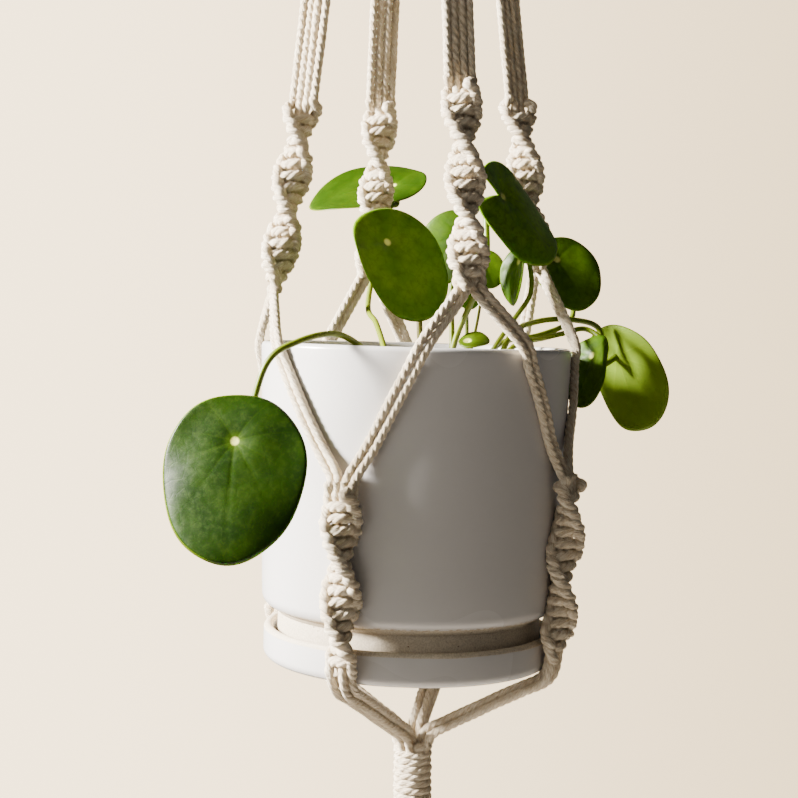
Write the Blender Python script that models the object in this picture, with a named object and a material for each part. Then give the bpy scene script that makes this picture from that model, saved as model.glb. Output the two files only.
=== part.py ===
"""A pilea growing in a white glazed pot and saucer, carried by a four-armed knotted cotton hanger.

Metres, +Z up. The front of the object faces -Y. The origin is the inside top of the hanging
ring, where a hook bears, and everything hangs below it. Heights are given above the pot's rim.
"""

from math import cos, pi, radians, sin, sqrt

import bmesh
import bpy
from mathutils import Matrix, Vector

# ---- Driving dimensions -------------------------------------------------------------------

GAP = 0.0003  # clearance between pieces that touch
CORD = 0.0034  # thickness of the cotton cord

RIM_HEIGHT = -0.557  # the pot's rim below the hang point
POT_LEAN = radians(1.2)  # the pot hangs a little out of plumb, its top to the right
LEAN_PIVOT = -0.012  # height on the pot that stays on the hanging axis

POT_RIM_RADIUS = 0.0650
POT_BASE_RADIUS = 0.0623
POT_WALL = 0.0040
GLAZE_BOTTOM = -0.1105
POT_CORNER = 0.0055
FOOT_RADIUS = 0.0555
FOOT_BOTTOM = -0.1267
FOOT_RING_WIDTH = 0.0060
POT_FLOOR = -0.1140
DRAIN_RADIUS = 0.0060

SAUCER_RADIUS = 0.0613
SAUCER_WALL = 0.0040
SAUCER_TOP = -0.1185
SAUCER_FLOOR = FOOT_BOTTOM - GAP
SAUCER_BOTTOM = -0.1325
SAUCER_FOOT_RADIUS = 0.0500
SAUCER_FOOT_BOTTOM = -0.1340

SOIL_TOP = -0.0160
PLANT_SHIFT = -0.0015  # the plant's own middle beside the hanging axis
STEM_RADIUS = 0.0032

RING_BORE_RADIUS = 0.0200
RING_BAR_RADIUS = 0.0040
HITCH_HALF_ANGLE = radians(28)
HITCH_LEG = 0.0100

WRAP_RADIUS = 0.0082
WRAP_PITCH = 0.0033
TOP_WRAP_TURNS = 11
GATHER_WRAP_TURNS = 15
GATHER_TOP = -0.1690

ARM_RADIUS_AT_WRAP = 0.0055
ARM_BEND_HEIGHT = 0.1020  # where the straight cords end and the arms flare out a little more
ARM_BEND_RADIUS = 0.0478
ARM_FLARE = 0.150  # widening below the bend, for each unit of height
ARM_KNOT_HALF_TURN = 0.0290  # height in which the knot spiral turns by 180 degrees
LOW_KNOT_TOP = -0.0560
LOW_KNOT_BOTTOM = -0.1245
LOW_KNOT_HALF_TURN = 0.0310
KNOT_HALF_WIDTH = 0.0074
KNOT_HALF_DEPTH = 0.0048
LOW_KNOT_TOP_STANDOFF = 0.0066  # knot axis outside the pot's wall
LOW_KNOT_BOTTOM_STANDOFF = 0.0040

TASSEL_LENGTH = 0.1150
TASSEL_TOP_RADIUS = 0.0078
TASSEL_BOTTOM_RADIUS = 0.0150

# Azimuths in degrees, from the front (-Y) towards +X. Each arm has its place round the pot, the
# way the flat side of its four straight cords faces, and the heights of the top and the bottom
# of its knots.
ARMS = {
    "front": (19.6, 15.0, 0.1015, 0.0255),
    "right": (115.0, 40.0, 0.1030, 0.0350),
    "back": (200.0, 190.0, 0.1045, 0.0330),
    "left": (281.0, 335.0, 0.0975, 0.0245),
}
LOW_KNOTS = {"front_left": 336.5, "front_right": 64.0, "back_right": 162.0, "back_left": 238.0}
# How far below the top of its knots each spiral first has its flat side to the front.
FIRST_BULGE = {
    "front": 0.0089,
    "right": 0.0010,
    "back": 0.0088,
    "left": -0.0010,
    "front_left": 0.0118,
    "front_right": -0.0065,
    "back_right": 0.0050,
    "back_left": 0.0050,
}
# Each arm parts into two pairs of cords: arm, low knot, and the turn from one to the other.
PAIRS = [
    ("front", "front_left", -1),
    ("front", "front_right", 1),
    ("right", "front_right", -1),
    ("right", "back_right", 1),
    ("back", "back_right", -1),
    ("back", "back_left", 1),
    ("left", "back_left", -1),
    ("left", "front_left", 1),
]

LEAF_THICKNESS = 0.0011
PETIOLE_RADIUS = 0.0013
LEAF_ATTACHMENT = 0.42  # from the blade's middle towards its top edge, in half lengths
SLIT_REACH = 0.15  # what a slit leaves between the petiole and the edge

# Every leaf: middle of the blade above the rim, the way its upper side faces, the way its tip
# points, length, width, curl across the width in degrees, and the petiole's route from the
# soil up. A slit runs in from the edge to the petiole, at its angle from the tip in degrees.
# Points and sizes are in millimetres.
LEAVES = {
    "low_front": {
        "middle": (-66.9, -86, -47.5),
        "faces": (-0.12, -0.94, 0.30),
        "tip": (-0.05, -0.30, -0.95),
        "size": (64.3, 55.5),
        "curl": -22,
        "route": [(-11, -21, -15), (-17, -37, -4), (-29, -56, 4.6), (-44.6, -67, 1.6), (-56, -71, -7.7)],
    },
    "centre_front": {
        "middle": (-5, -24, 33),
        "faces": (0.55, -0.76, 0.35),
        "tip": (0.43, 0.0, -0.90),
        "size": (50, 44),
        "curl": 24,
        "route": [(2, -13, -15), (3, -14, 3), (0, -13, 22)],
    },
    "back": {
        "middle": (-21, 80, 72),
        "faces": (-0.20, -0.47, 0.86),
        "tip": (-0.97, 0.0, -0.23),
        "size": (58, 46),
        "curl": 10,
        "route": [(-9, 3, -14), (-12, 20, -2), (-16, 42, 9), (-20, 60, 17), (-16, 74, 42), (-11, 79, 62)],
    },
    "behind_front_arm": {
        "middle": (15, 2, 41),
        "faces": (-0.45, -0.85, 0.25),
        "tip": (-0.55, 0.0, -0.83),
        "size": (34, 30),
        "curl": 22,
        "route": [(17, 5, -15), (17, 9, 4), (17, 11, 26)],
    },
    "folded": {
        "middle": (43.5, -20, 54),
        "faces": (0.72, -0.56, 0.41),
        "tip": (0.65, 0.34, -0.68),
        "size": (49, 42),
        "curl": -32,
        "slit": 157.5,
        "route": [(14, -16, -15), (18, -18, 4), (29, -24, 32)],
    },
    "back_right": {
        "middle": (70, 50, 32),
        "faces": (0.30, -0.88, 0.36),
        "tip": (0.42, 0.10, -0.90),
        "size": (37, 33),
        "curl": 20,
        "route": [(27, 14, -15), (38, 22, 0), (56, 31, 4), (71, 46, 10), (73, 57, 20)],
    },
    "far_right": {
        "middle": (96, 40, -15),
        "faces": (0.76, 0.58, 0.28),
        "tip": (0.28, 0.0, -0.96),
        "size": (50, 47),
        "curl": 24,
        "route": [(34, 2, -15), (42, 9, 4), (54, 20, 10), (70, 30, 11), (83, 34, 7)],
    },
    "small_right": {
        "middle": (76, 16, -11),
        "faces": (-0.80, -0.52, 0.30),
        "tip": (0.05, 0.0, -1.0),
        "size": (33, 28),
        "curl": 24,
        "route": [(33, 7, -15), (43, 10, -1), (57, 15, 3), (66, 22, 5), (76, 28, 7), (83, 24, 2)],
    },
    "small_centre": {
        "middle": (32, 22, 33),
        "faces": (0.20, -0.90, 0.38),
        "tip": (0.30, 0.0, -0.95),
        "size": (19, 17),
        "curl": 18,
        "route": [(22, 17, -15), (27, 22, 4), (30, 25, 22)],
    },
    "soil_shoot": {
        "middle": (25, -22, 2),
        "faces": (-0.10, -0.55, 0.83),
        "tip": (1.0, 0.0, -0.05),
        "size": (13, 11),
        "curl": 40,
        "route": [(23, -17, -15), (23, -17, -8)],
    },
    "young_low": {
        "middle": (23, 1, 21),
        "faces": (0.15, -0.90, 0.40),
        "tip": (0.20, 0.0, -0.98),
        "size": (13, 12),
        "curl": 24,
        "route": [(22, 0, -15), (23, 4, 0), (23, 5, 12)],
    },
    "young_edge_on": {
        "middle": (44, 6, 30),
        "faces": (-0.92, -0.36, 0.15),
        "tip": (0.05, 0.0, -1.0),
        "size": (27, 22),
        "curl": 60,
        "route": [(29, -6, -15), (34, -2, -2), (43, 3, 11), (50, 5, 22)],
    },
}

STEMS = {"left": (-5, -8, 9), "middle": (17, -4, 12), "right": (28, 3, 11)}

ROUND_SIDES = 36
SOFT_SIDES = 10


# ---- Materials ----------------------------------------------------------------------------


def material(name, colour, roughness):
    made = bpy.data.materials.new(name)
    made.use_nodes = True
    surface = made.node_tree.nodes["Principled BSDF"]
    surface.inputs["Base Color"].default_value = (*colour, 1.0)
    surface.inputs["Roughness"].default_value = roughness
    surface.inputs["Metallic"].default_value = 0.0
    return made


# ---- Mesh helpers -------------------------------------------------------------------------


def finish(name, bm, surface, sharp_angle=40):
    """Turns a bmesh into a named object, facing outwards and shaded smooth."""
    bmesh.ops.recalc_face_normals(bm, faces=bm.faces)
    mesh = bpy.data.meshes.new(name)
    bm.to_mesh(mesh)
    bm.free()
    mesh.shade_smooth()
    mesh.set_sharp_from_angle(angle=radians(sharp_angle))
    made = bpy.data.objects.new(name, mesh)
    made.data.materials.append(surface)
    bpy.context.scene.collection.objects.link(made)
    return made


def loft(name, rings, surface, closed=False):
    """Skins a run of rings with the same number of points, capped at both ends unless closed."""
    bm = bmesh.new()
    made = [[bm.verts.new(p) for p in ring] for ring in rings]
    spans = list(zip(made, made[1:] + made[:1])) if closed else list(zip(made, made[1:]))
    for lower, upper in spans:
        for i in range(len(lower)):
            j = (i + 1) % len(lower)
            bm.faces.new((lower[i], lower[j], upper[j], upper[i]))
    if not closed:
        bm.faces.new(made[0])
        bm.faces.new(made[-1])
    return finish(name, bm, surface)


def lathe(name, profile, surface, sides=ROUND_SIDES):
    """Turns a closed outline of (radius, height) points about the Z axis; radius 0 is a pole."""
    bm = bmesh.new()
    turned = []
    for radius, height in profile:
        if radius == 0:
            turned.append([bm.verts.new((0, 0, height))])
            continue
        angles = [2 * pi * i / sides for i in range(sides)]
        turned.append([bm.verts.new((radius * cos(a), radius * sin(a), height)) for a in angles])
    for lower, upper in zip(turned, turned[1:] + turned[:1]):
        for i in range(sides):
            j = (i + 1) % sides
            corners = [lower[i % len(lower)], lower[j % len(lower)]]
            corners += [upper[j % len(upper)], upper[i % len(upper)]]
            distinct = list(dict.fromkeys(corners))
            if len(distinct) > 2:
                bm.faces.new(distinct)
    return finish(name, bm, surface)


def arc(middle, radius, start, end, steps):
    """Points on a circular arc in the (radius, height) plane, angles in degrees."""
    angles = [radians(start + (end - start) * i / steps) for i in range(steps + 1)]
    return [(middle[0] + radius * cos(a), middle[1] + radius * sin(a)) for a in angles]


def smooth_route(points, per_span):
    """A Catmull-Rom curve through the points."""
    ends = [2 * points[0] - points[1], *points, 2 * points[-1] - points[-2]]
    route = []
    for a, b, c, d in zip(ends, ends[1:], ends[2:], ends[3:]):
        for i in range(per_span):
            t = i / per_span
            bend = 2 * a - 5 * b + 4 * c - d
            twist = 3 * b - 3 * c + d - a
            route.append(0.5 * (2 * b + (c - a) * t + bend * t * t + twist * t * t * t))
    return route + [points[-1]]


def directions(route):
    """The unit direction of a route at each of its points."""
    before = [route[0], *route[:-1]]
    after = [*route[1:], route[-1]]
    return [(b - a).normalized() for a, b in zip(before, after)]


def downwards_at_ends(route):
    """A route's directions, with both of its ends cut level."""
    down = Vector((0, 0, -1))
    return [down, *directions(route)[1:-1], down]


def oval(centre, across, through, half_width, half_depth, sides=SOFT_SIDES):
    """A ring of points, a rounded rectangle between an ellipse and a box."""
    ring = []
    for i in range(sides):
        angle = 2 * pi * (i + 0.5) / sides
        c, s = cos(angle), sin(angle)
        squareness = 1 / (abs(c) ** 3 + abs(s) ** 3) ** (1 / 3)
        reach = 0.5 * (1 + squareness)
        ring.append(centre + across * (half_width * reach * c) + through * (half_depth * reach * s))
    return ring


# ---- Places -------------------------------------------------------------------------------


def above_rim(x, y, height):
    """A point at a height above the pot's rim."""
    return Vector((x, y, RIM_HEIGHT + height))


def in_plant(point):
    """A point of the plant, from millimetres beside the pot's middle and above its rim."""
    x, y, height = (value / 1000 for value in point)
    return above_rim(x + PLANT_SHIFT, y, height)


def outward(azimuth):
    return Vector((sin(radians(azimuth)), -cos(radians(azimuth)), 0))


def sideways(azimuth):
    """The direction in which the azimuth grows."""
    return Vector((cos(radians(azimuth)), sin(radians(azimuth)), 0))


def pot_axis(height):
    """The leaning pot's axis at a height above the rim."""
    return Vector((sin(POT_LEAN) * (height - LEAN_PIVOT), 0, 0))


def wall_radius(height):
    """The outer radius of the pot and saucer at a height above the rim."""
    taper = (POT_RIM_RADIUS - POT_BASE_RADIUS) / -GLAZE_BOTTOM
    return max(POT_RIM_RADIUS + taper * min(height, 0), SAUCER_RADIUS)


def beside_wall(azimuth, height, standoff):
    """A point at a distance outside the leaning pot's wall."""
    reach = outward(azimuth) * (wall_radius(height) + standoff)
    return above_rim(0, 0, height) + pot_axis(height) + reach


def clear_of_wall(point, clearance=2 * GAP):
    """Moves a point that is inside the pot's wall straight out of it."""
    height = point.z - RIM_HEIGHT
    axis = above_rim(0, 0, height) + pot_axis(height)
    reach = point - axis
    needed = wall_radius(height) + clearance
    if height > 0 or SAUCER_BOTTOM > height or reach.length >= needed:
        return point
    return axis + reach.normalized() * needed


# ---- Pot, saucer and soil -----------------------------------------------------------------


def lean(piece):
    """Leans a piece modelled about the pot's upright axis, with the rim at height 0."""
    turn = Matrix.Rotation(POT_LEAN, 4, "Y")
    pivot = Matrix.Translation((0, 0, LEAN_PIVOT))
    settled = Matrix.Translation((0, 0, RIM_HEIGHT)) @ pivot @ turn @ pivot.inverted()
    piece.data.transform(settled)
    return piece


def inner_radius(height):
    return wall_radius(height) - POT_WALL


def build_pot(glaze):
    lip = POT_WALL / 2
    corner = (POT_BASE_RADIUS - POT_CORNER, GLAZE_BOTTOM + POT_CORNER)
    outline = arc((POT_RIM_RADIUS - lip, -lip), lip, 180, 0, 4)
    outline += arc(corner, POT_CORNER, 0, -90, 4)
    outline += [(FOOT_RADIUS, GLAZE_BOTTOM), (FOOT_RADIUS, FOOT_BOTTOM)]
    outline += [(FOOT_RADIUS - FOOT_RING_WIDTH, FOOT_BOTTOM)]
    recess = POT_FLOOR - POT_WALL
    outline += [(FOOT_RADIUS - FOOT_RING_WIDTH, recess), (DRAIN_RADIUS, recess)]
    outline += [(DRAIN_RADIUS, POT_FLOOR), (inner_radius(POT_FLOOR) - POT_WALL, POT_FLOOR)]
    outline += [(inner_radius(POT_FLOOR), POT_FLOOR + POT_WALL)]
    return lean(lathe("pot", outline, glaze))


def build_saucer(glaze):
    lip = SAUCER_WALL / 2
    corner_radius = POT_WALL
    corner = (SAUCER_RADIUS - corner_radius, SAUCER_BOTTOM + corner_radius)
    outline = [(0, SAUCER_FLOOR), (SAUCER_RADIUS - SAUCER_WALL, SAUCER_FLOOR)]
    outline += arc((SAUCER_RADIUS - lip, SAUCER_TOP - lip), lip, 180, 0, 4)
    outline += arc(corner, corner_radius, 0, -90, 4)
    outline += [(SAUCER_FOOT_RADIUS, SAUCER_BOTTOM), (SAUCER_FOOT_RADIUS, SAUCER_FOOT_BOTTOM)]
    outline += [(0, SAUCER_FOOT_BOTTOM)]
    return lean(lathe("saucer", outline, glaze))


def build_soil(earth):
    bottom = POT_FLOOR + GAP
    outline = [(0, bottom), (inner_radius(bottom) - POT_WALL - GAP, bottom)]
    outline += [(inner_radius(bottom) - 2 * GAP, bottom + POT_WALL)]
    outline += [(inner_radius(SOIL_TOP) - 2 * GAP, SOIL_TOP - 0.001), (0, SOIL_TOP)]
    return lean(lathe("soil", outline, earth))


# ---- Plant --------------------------------------------------------------------------------


def build_stem(name, place, bark):
    x, y, height = place
    base = in_plant((x, y, 0))
    bottom = SOIL_TOP + 4 * GAP
    levels = [(0, STEM_RADIUS * 1.1), (0.5, STEM_RADIUS), (1, STEM_RADIUS * 0.8)]
    rings = []
    for share, radius in levels:
        centre = base + Vector((0, 0, bottom + share * height / 1000))
        rings.append(oval(centre, Vector((1, 0, 0)), Vector((0, 1, 0)), radius, radius))
    return loft(name, rings, bark)


def leaf_axes(leaf):
    """The blade's upper side, its tip direction and the direction across it."""
    faces = Vector(leaf["faces"]).normalized()
    tip = Vector(leaf["tip"])
    tip = (tip - faces * tip.dot(faces)).normalized()
    return faces, tip, tip.cross(faces)


def blade_point(leaf, along, across, lift=0.0):
    """A point of the curled blade: along and across run from -1 to 1 over its length and width."""
    faces, tip, side = leaf_axes(leaf)
    length, width = (value / 2000 for value in leaf["size"])
    half_curl = radians(leaf["curl"]) / 2
    bend_radius = width / half_curl
    angle = across * half_curl
    out = side * ((bend_radius - lift) * sin(angle))
    rise = faces * (bend_radius - (bend_radius - lift) * cos(angle))
    droop = faces * (-0.06 * length * along * along)
    return in_plant(leaf["middle"]) + tip * (along * length) + out + rise + droop


def blade_spokes(leaf, around):
    """From the petiole to the blade's edge, in half lengths and half widths; short at a slit."""
    spokes = []
    for i in range(around):
        angle = 360 * i / around
        reach = SLIT_REACH if angle == leaf.get("slit") else 1
        along = cos(radians(angle)) + LEAF_ATTACHMENT
        spokes.append((reach * along, reach * sin(radians(angle))))
    return spokes


def build_blade(name, leaf, green, around=32, rings=2):
    """A thin round blade, curled about its long axis."""
    bm = bmesh.new()
    half = LEAF_THICKNESS / 2
    sheets = []
    for lift in (half, -half):
        middle = bm.verts.new(blade_point(leaf, -LEAF_ATTACHMENT, 0, lift))
        circles = []
        for ring in range(1, rings + 1):
            share = ring / rings
            circle = []
            for along, across in blade_spokes(leaf, around):
                point = blade_point(leaf, share * along - LEAF_ATTACHMENT, share * across, lift)
                circle.append(bm.verts.new(point))
            circles.append(circle)
        sheets.append((middle, circles))
    for middle, circles in sheets:
        for i in range(around):
            j = (i + 1) % around
            bm.faces.new((middle, circles[0][i], circles[0][j]))
            for inner, outer in zip(circles, circles[1:]):
                bm.faces.new((inner[i], outer[i], outer[j], inner[j]))
    upper, lower = sheets[0][1][-1], sheets[1][1][-1]
    for i in range(around):
        j = (i + 1) % around
        bm.faces.new((upper[i], lower[i], lower[j], upper[j]))
    return finish(name, bm, green, sharp_angle=60)


def build_petiole(name, leaf, green):
    """The leaf stalk, from beside its stem to the underside of the blade."""
    faces, _, _ = leaf_axes(leaf)
    attachment = blade_point(leaf, -LEAF_ATTACHMENT, 0)
    approach = min(leaf["size"]) / 5000
    end = attachment - faces * (LEAF_THICKNESS + 3 * GAP)
    points = [in_plant(point) for point in leaf["route"]]
    points += [attachment - faces * approach, end]
    route = smooth_route(points, 2)
    side = Vector((1, 0, 0))
    rings = []
    for centre, direction in zip(route, directions(route)):
        side = (side - direction * side.dot(direction)).normalized()
        rings.append(oval(centre, side, direction.cross(side), PETIOLE_RADIUS, PETIOLE_RADIUS, 6))
    return loft(name, rings, green)


# ---- Hanger -------------------------------------------------------------------------------


def build_ring(wood):
    """The hanging ring stands in the XZ plane, its bore along Y."""
    middle = Vector((0, 0, -RING_BORE_RADIUS))
    bar_middle = RING_BORE_RADIUS + RING_BAR_RADIUS
    rings = []
    for i in range(24):
        angle = 2 * pi * i / 24
        away = Vector((sin(angle), 0, cos(angle)))
        centre = middle + away * bar_middle
        rings.append(circle_of_points(centre, away, Vector((0, 1, 0)), RING_BAR_RADIUS, 10))
    return loft("hanging_ring", rings, wood, closed=True)


def circle_of_points(centre, across, through, radius, sides):
    angles = [2 * pi * i / sides for i in range(sides)]
    return [centre + across * (radius * cos(a)) + through * (radius * sin(a)) for a in angles]


def build_hitch(cotton):
    """The cords doubled over the bottom of the ring, as one saddle with a front and a back leg."""
    inner = RING_BAR_RADIUS + GAP
    outer = inner + CORD
    section = arc((0, 0), outer, 0, 180, 8)
    section += [(-outer, -HITCH_LEG), (-inner, -HITCH_LEG)]
    section += arc((0, 0), inner, 180, 0, 8)
    section += [(inner, -HITCH_LEG), (outer, -HITCH_LEG)]
    middle = Vector((0, 0, -RING_BORE_RADIUS))
    rings = []
    for i in range(9):
        angle = HITCH_HALF_ANGLE * (2 * i / 8 - 1)
        away = Vector((sin(angle), 0, -cos(angle)))
        bar = middle + away * (RING_BORE_RADIUS + RING_BAR_RADIUS)
        rings.append([bar + Vector((0, y, 0)) - away * rise for y, rise in section])
    return loft("ring_hitch_cords", rings, cotton)


def wrap_top():
    return -2 * (RING_BORE_RADIUS + RING_BAR_RADIUS) + RING_BAR_RADIUS - HITCH_LEG - GAP


def top_wrap_bottom():
    return wrap_top() - TOP_WRAP_TURNS * WRAP_PITCH


def build_wrap(name, top, turns, cotton):
    """A whipping of cord round the bundle: a stack of rounded turns."""
    outline = [(0, top)]
    for turn in range(turns):
        start = top - turn * WRAP_PITCH
        outline.append((WRAP_RADIUS - CORD / 4, start))
        outline.append((WRAP_RADIUS, start - WRAP_PITCH / 2))
    bottom = top - turns * WRAP_PITCH
    outline += [(WRAP_RADIUS - CORD / 4, bottom), (0, bottom)]
    return lathe(name, outline, cotton, sides=16)


def arm_radius(height):
    """Distance of an arm from the hanging axis at a height above the rim."""
    if height < ARM_BEND_HEIGHT:
        return ARM_BEND_RADIUS + ARM_FLARE * (ARM_BEND_HEIGHT - height)
    top = top_wrap_bottom() - RIM_HEIGHT
    share = (top - height) / (top - ARM_BEND_HEIGHT)
    return ARM_RADIUS_AT_WRAP + (ARM_BEND_RADIUS - ARM_RADIUS_AT_WRAP) * share


def arm_point(azimuth, height):
    return above_rim(0, 0, height) + outward(azimuth) * arm_radius(height)


def build_arm_cords(name, azimuth, facing, bottom, cotton, steps=9):
    """Four cords side by side: a round bundle at the top that flattens out towards the knots."""
    top = top_wrap_bottom() - RIM_HEIGHT - GAP
    rings = []
    for i in range(steps + 1):
        share = i / steps
        flat = min(1, share * 1.6)
        centre = arm_point(azimuth, top + (bottom - top) * share)
        half_width = CORD * (1 + flat * 1.05)
        half_depth = CORD * (1 - flat * 0.45)
        rings.append(oval(centre, sideways(facing), outward(facing), half_width, half_depth))
    return loft(name, rings, cotton)


def build_knots(name, centre_of, azimuth, top, bottom, half_turn, bulge, cotton):
    """A run of half knots, which turns as it goes down: a flat bundle twisted into a spiral."""
    steps = round((top - bottom) / (half_turn / 8))
    rings = []
    for i in range(steps + 1):
        fall = (top - bottom) * i / steps
        facing = 180 * (fall - bulge) / half_turn
        taper = min(1, 0.82 + fall / 0.02, 0.82 + ((top - bottom) - fall) / 0.02)
        centre = centre_of(azimuth, top - fall)
        half_width, half_depth = KNOT_HALF_WIDTH * taper, KNOT_HALF_DEPTH * taper
        ring = oval(centre, sideways(facing), outward(facing), half_width, half_depth)
        rings.append([clear_of_wall(point) for point in ring])
    return loft(name, rings, cotton)


def low_knot_point(azimuth, height):
    share = (LOW_KNOT_TOP - height) / (LOW_KNOT_TOP - LOW_KNOT_BOTTOM)
    standoff = LOW_KNOT_TOP_STANDOFF
    standoff += share * (LOW_KNOT_BOTTOM_STANDOFF - LOW_KNOT_TOP_STANDOFF)
    return beside_wall(azimuth, height, standoff)


def band(name, route, facing, half_widths, half_depths, cotton):
    """A soft flat band along a route, its flat side facing the given directions."""
    rings = []
    for i, (centre, direction) in enumerate(zip(route, downwards_at_ends(route))):
        out = facing[i] - direction * facing[i].dot(direction)
        out = out.normalized()
        across = direction.cross(out)
        rings.append(oval(centre, across, out, half_widths[i], half_depths[i], 8))
    return loft(name, rings, cotton)


def build_pair(arm, low, turn, cotton):
    """Two cords side by side, from an arm's knots over the rim and down the wall to a low knot."""
    start_azimuth, _, _, knot_bottom = ARMS[arm]
    end_azimuth = LOW_KNOTS[low]
    end_azimuth += 360 * round((start_azimuth - end_azimuth) / 360)
    swing = end_azimuth - start_azimuth
    beside = turn * (CORD + 3 * GAP)
    start = arm_point(start_azimuth, knot_bottom - GAP) + sideways(start_azimuth) * beside
    end = low_knot_point(end_azimuth, LOW_KNOT_TOP + GAP) - sideways(end_azimuth) * beside
    lift = CORD / 2 + 3 * GAP
    leave = start + Vector((0, 0, -0.004)) + outward(start_azimuth) * 0.0010
    arrive = end + Vector((0, 0, 0.006)) - outward(end_azimuth) * 0.0020
    points = [start, leave]
    for share, height in ((0.40, 0.0020), (0.50, -0.0080), (0.65, -0.0230), (0.80, -0.0380)):
        points.append(beside_wall(start_azimuth + share * swing, height, lift))
    points += [arrive, end]
    route = smooth_route(points, 2)
    facing = []
    for point in route:
        out = Vector((point.x, point.y, 0))
        facing.append(out.normalized())
    widths = [CORD * 0.92] * len(route)
    depths = [CORD / 2] * len(route)
    return band(f"pair_{arm}_to_{low}", route, facing, widths, depths, cotton)


def build_low_bundle(low, cotton):
    """Four cords from a low knot, round the saucer's lower edge and in to the gathering wrap."""
    azimuth = LOW_KNOTS[low]
    start = low_knot_point(azimuth, LOW_KNOT_BOTTOM - GAP)
    reaches = [(0.0645, -0.1310), (0.0605, -0.1356), (0.0530, -0.1394), (0.0420, -0.1452)]
    reaches += [(0.0290, -0.1524), (0.0170, -0.1590), (0.0080, -0.1645)]
    points = [start]
    for radius, height in reaches:
        reach = outward(azimuth) * radius
        shift = pot_axis(height) * (radius / POT_RIM_RADIUS)
        drop = Vector((0, 0, sin(POT_LEAN) * reach.x))
        points.append(above_rim(0, 0, height) + reach + shift - drop)
    points.append(above_rim(0, 0, GATHER_TOP + GAP) + outward(azimuth) * ARM_RADIUS_AT_WRAP)
    route = smooth_route(points, 2)
    facing = [outward(azimuth) + Vector((0, 0, -1))] * len(route)
    half = [CORD * 0.95] * len(route)
    return band(f"low_bundle_{low}", route, facing, half, half, cotton)


def build_tassel(cotton):
    """The loose cord ends below the gathering wrap, as one soft outer shape."""
    top = RIM_HEIGHT + GATHER_TOP - GATHER_WRAP_TURNS * WRAP_PITCH - GAP
    spread = TASSEL_BOTTOM_RADIUS - TASSEL_TOP_RADIUS
    outline = [(0, top)]
    for i in range(7):
        share = i / 6
        radius = TASSEL_TOP_RADIUS + spread * sqrt(share)
        outline.append((radius, top - TASSEL_LENGTH * share))
    outline.append((0, top - TASSEL_LENGTH))
    return lathe("tassel", outline, cotton, sides=16)


# ---- Assembly -----------------------------------------------------------------------------


def build_container():
    glaze = material("white_glaze", (0.86, 0.85, 0.83), 0.25)
    build_pot(glaze)
    build_saucer(glaze)
    build_soil(material("potting_soil", (0.06, 0.04, 0.03), 0.95))


def build_plant():
    green = material("leaf_green", (0.07, 0.22, 0.02), 0.35)
    stalk = material("petiole_green", (0.30, 0.42, 0.05), 0.45)
    bark = material("stem_bark", (0.20, 0.14, 0.07), 0.80)
    for name, place in STEMS.items():
        build_stem(f"stem_{name}", place, bark)
    for name, leaf in LEAVES.items():
        build_blade(f"leaf_{name}", leaf, green)
        build_petiole(f"petiole_{name}", leaf, stalk)


def build_hanger():
    cotton = material("cotton_cord", (0.80, 0.74, 0.64), 0.90)
    build_ring(material("ring_wood", (0.55, 0.38, 0.22), 0.55))
    build_hitch(cotton)
    build_wrap("top_wrap", wrap_top(), TOP_WRAP_TURNS, cotton)
    for arm, (azimuth, facing, top, bottom) in ARMS.items():
        build_arm_cords(f"arm_cords_{arm}", azimuth, facing, top + GAP, cotton)
        extent = (top, bottom, ARM_KNOT_HALF_TURN, FIRST_BULGE[arm])
        build_knots(f"arm_knots_{arm}", arm_point, azimuth, *extent, cotton)
    for arm, low, turn in PAIRS:
        build_pair(arm, low, turn, cotton)
    for low, azimuth in LOW_KNOTS.items():
        extent = (LOW_KNOT_TOP, LOW_KNOT_BOTTOM, LOW_KNOT_HALF_TURN, FIRST_BULGE[low])
        build_knots(f"low_knots_{low}", low_knot_point, azimuth, *extent, cotton)
        build_low_bundle(low, cotton)
    build_wrap("gathering_wrap", RIM_HEIGHT + GATHER_TOP, GATHER_WRAP_TURNS, cotton)
    build_tassel(cotton)


for old in list(bpy.data.objects):
    bpy.data.objects.remove(old, do_unlink=True)

build_container()
build_plant()
build_hanger()
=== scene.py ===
"""The looks of the pilea in its hanging planter: rope, knots, glaze, leaves, soil and light.

Metres, +Z up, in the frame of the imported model. The hang point is the origin and the front is -Y.
Every piece takes the place of one or more CAD nodes, and all of them ride on the one body.
"""

from math import cos, pi, radians, sin, sqrt

import bmesh
import bpy
import numpy as np
from mathutils import Matrix, Vector, noise


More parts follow.
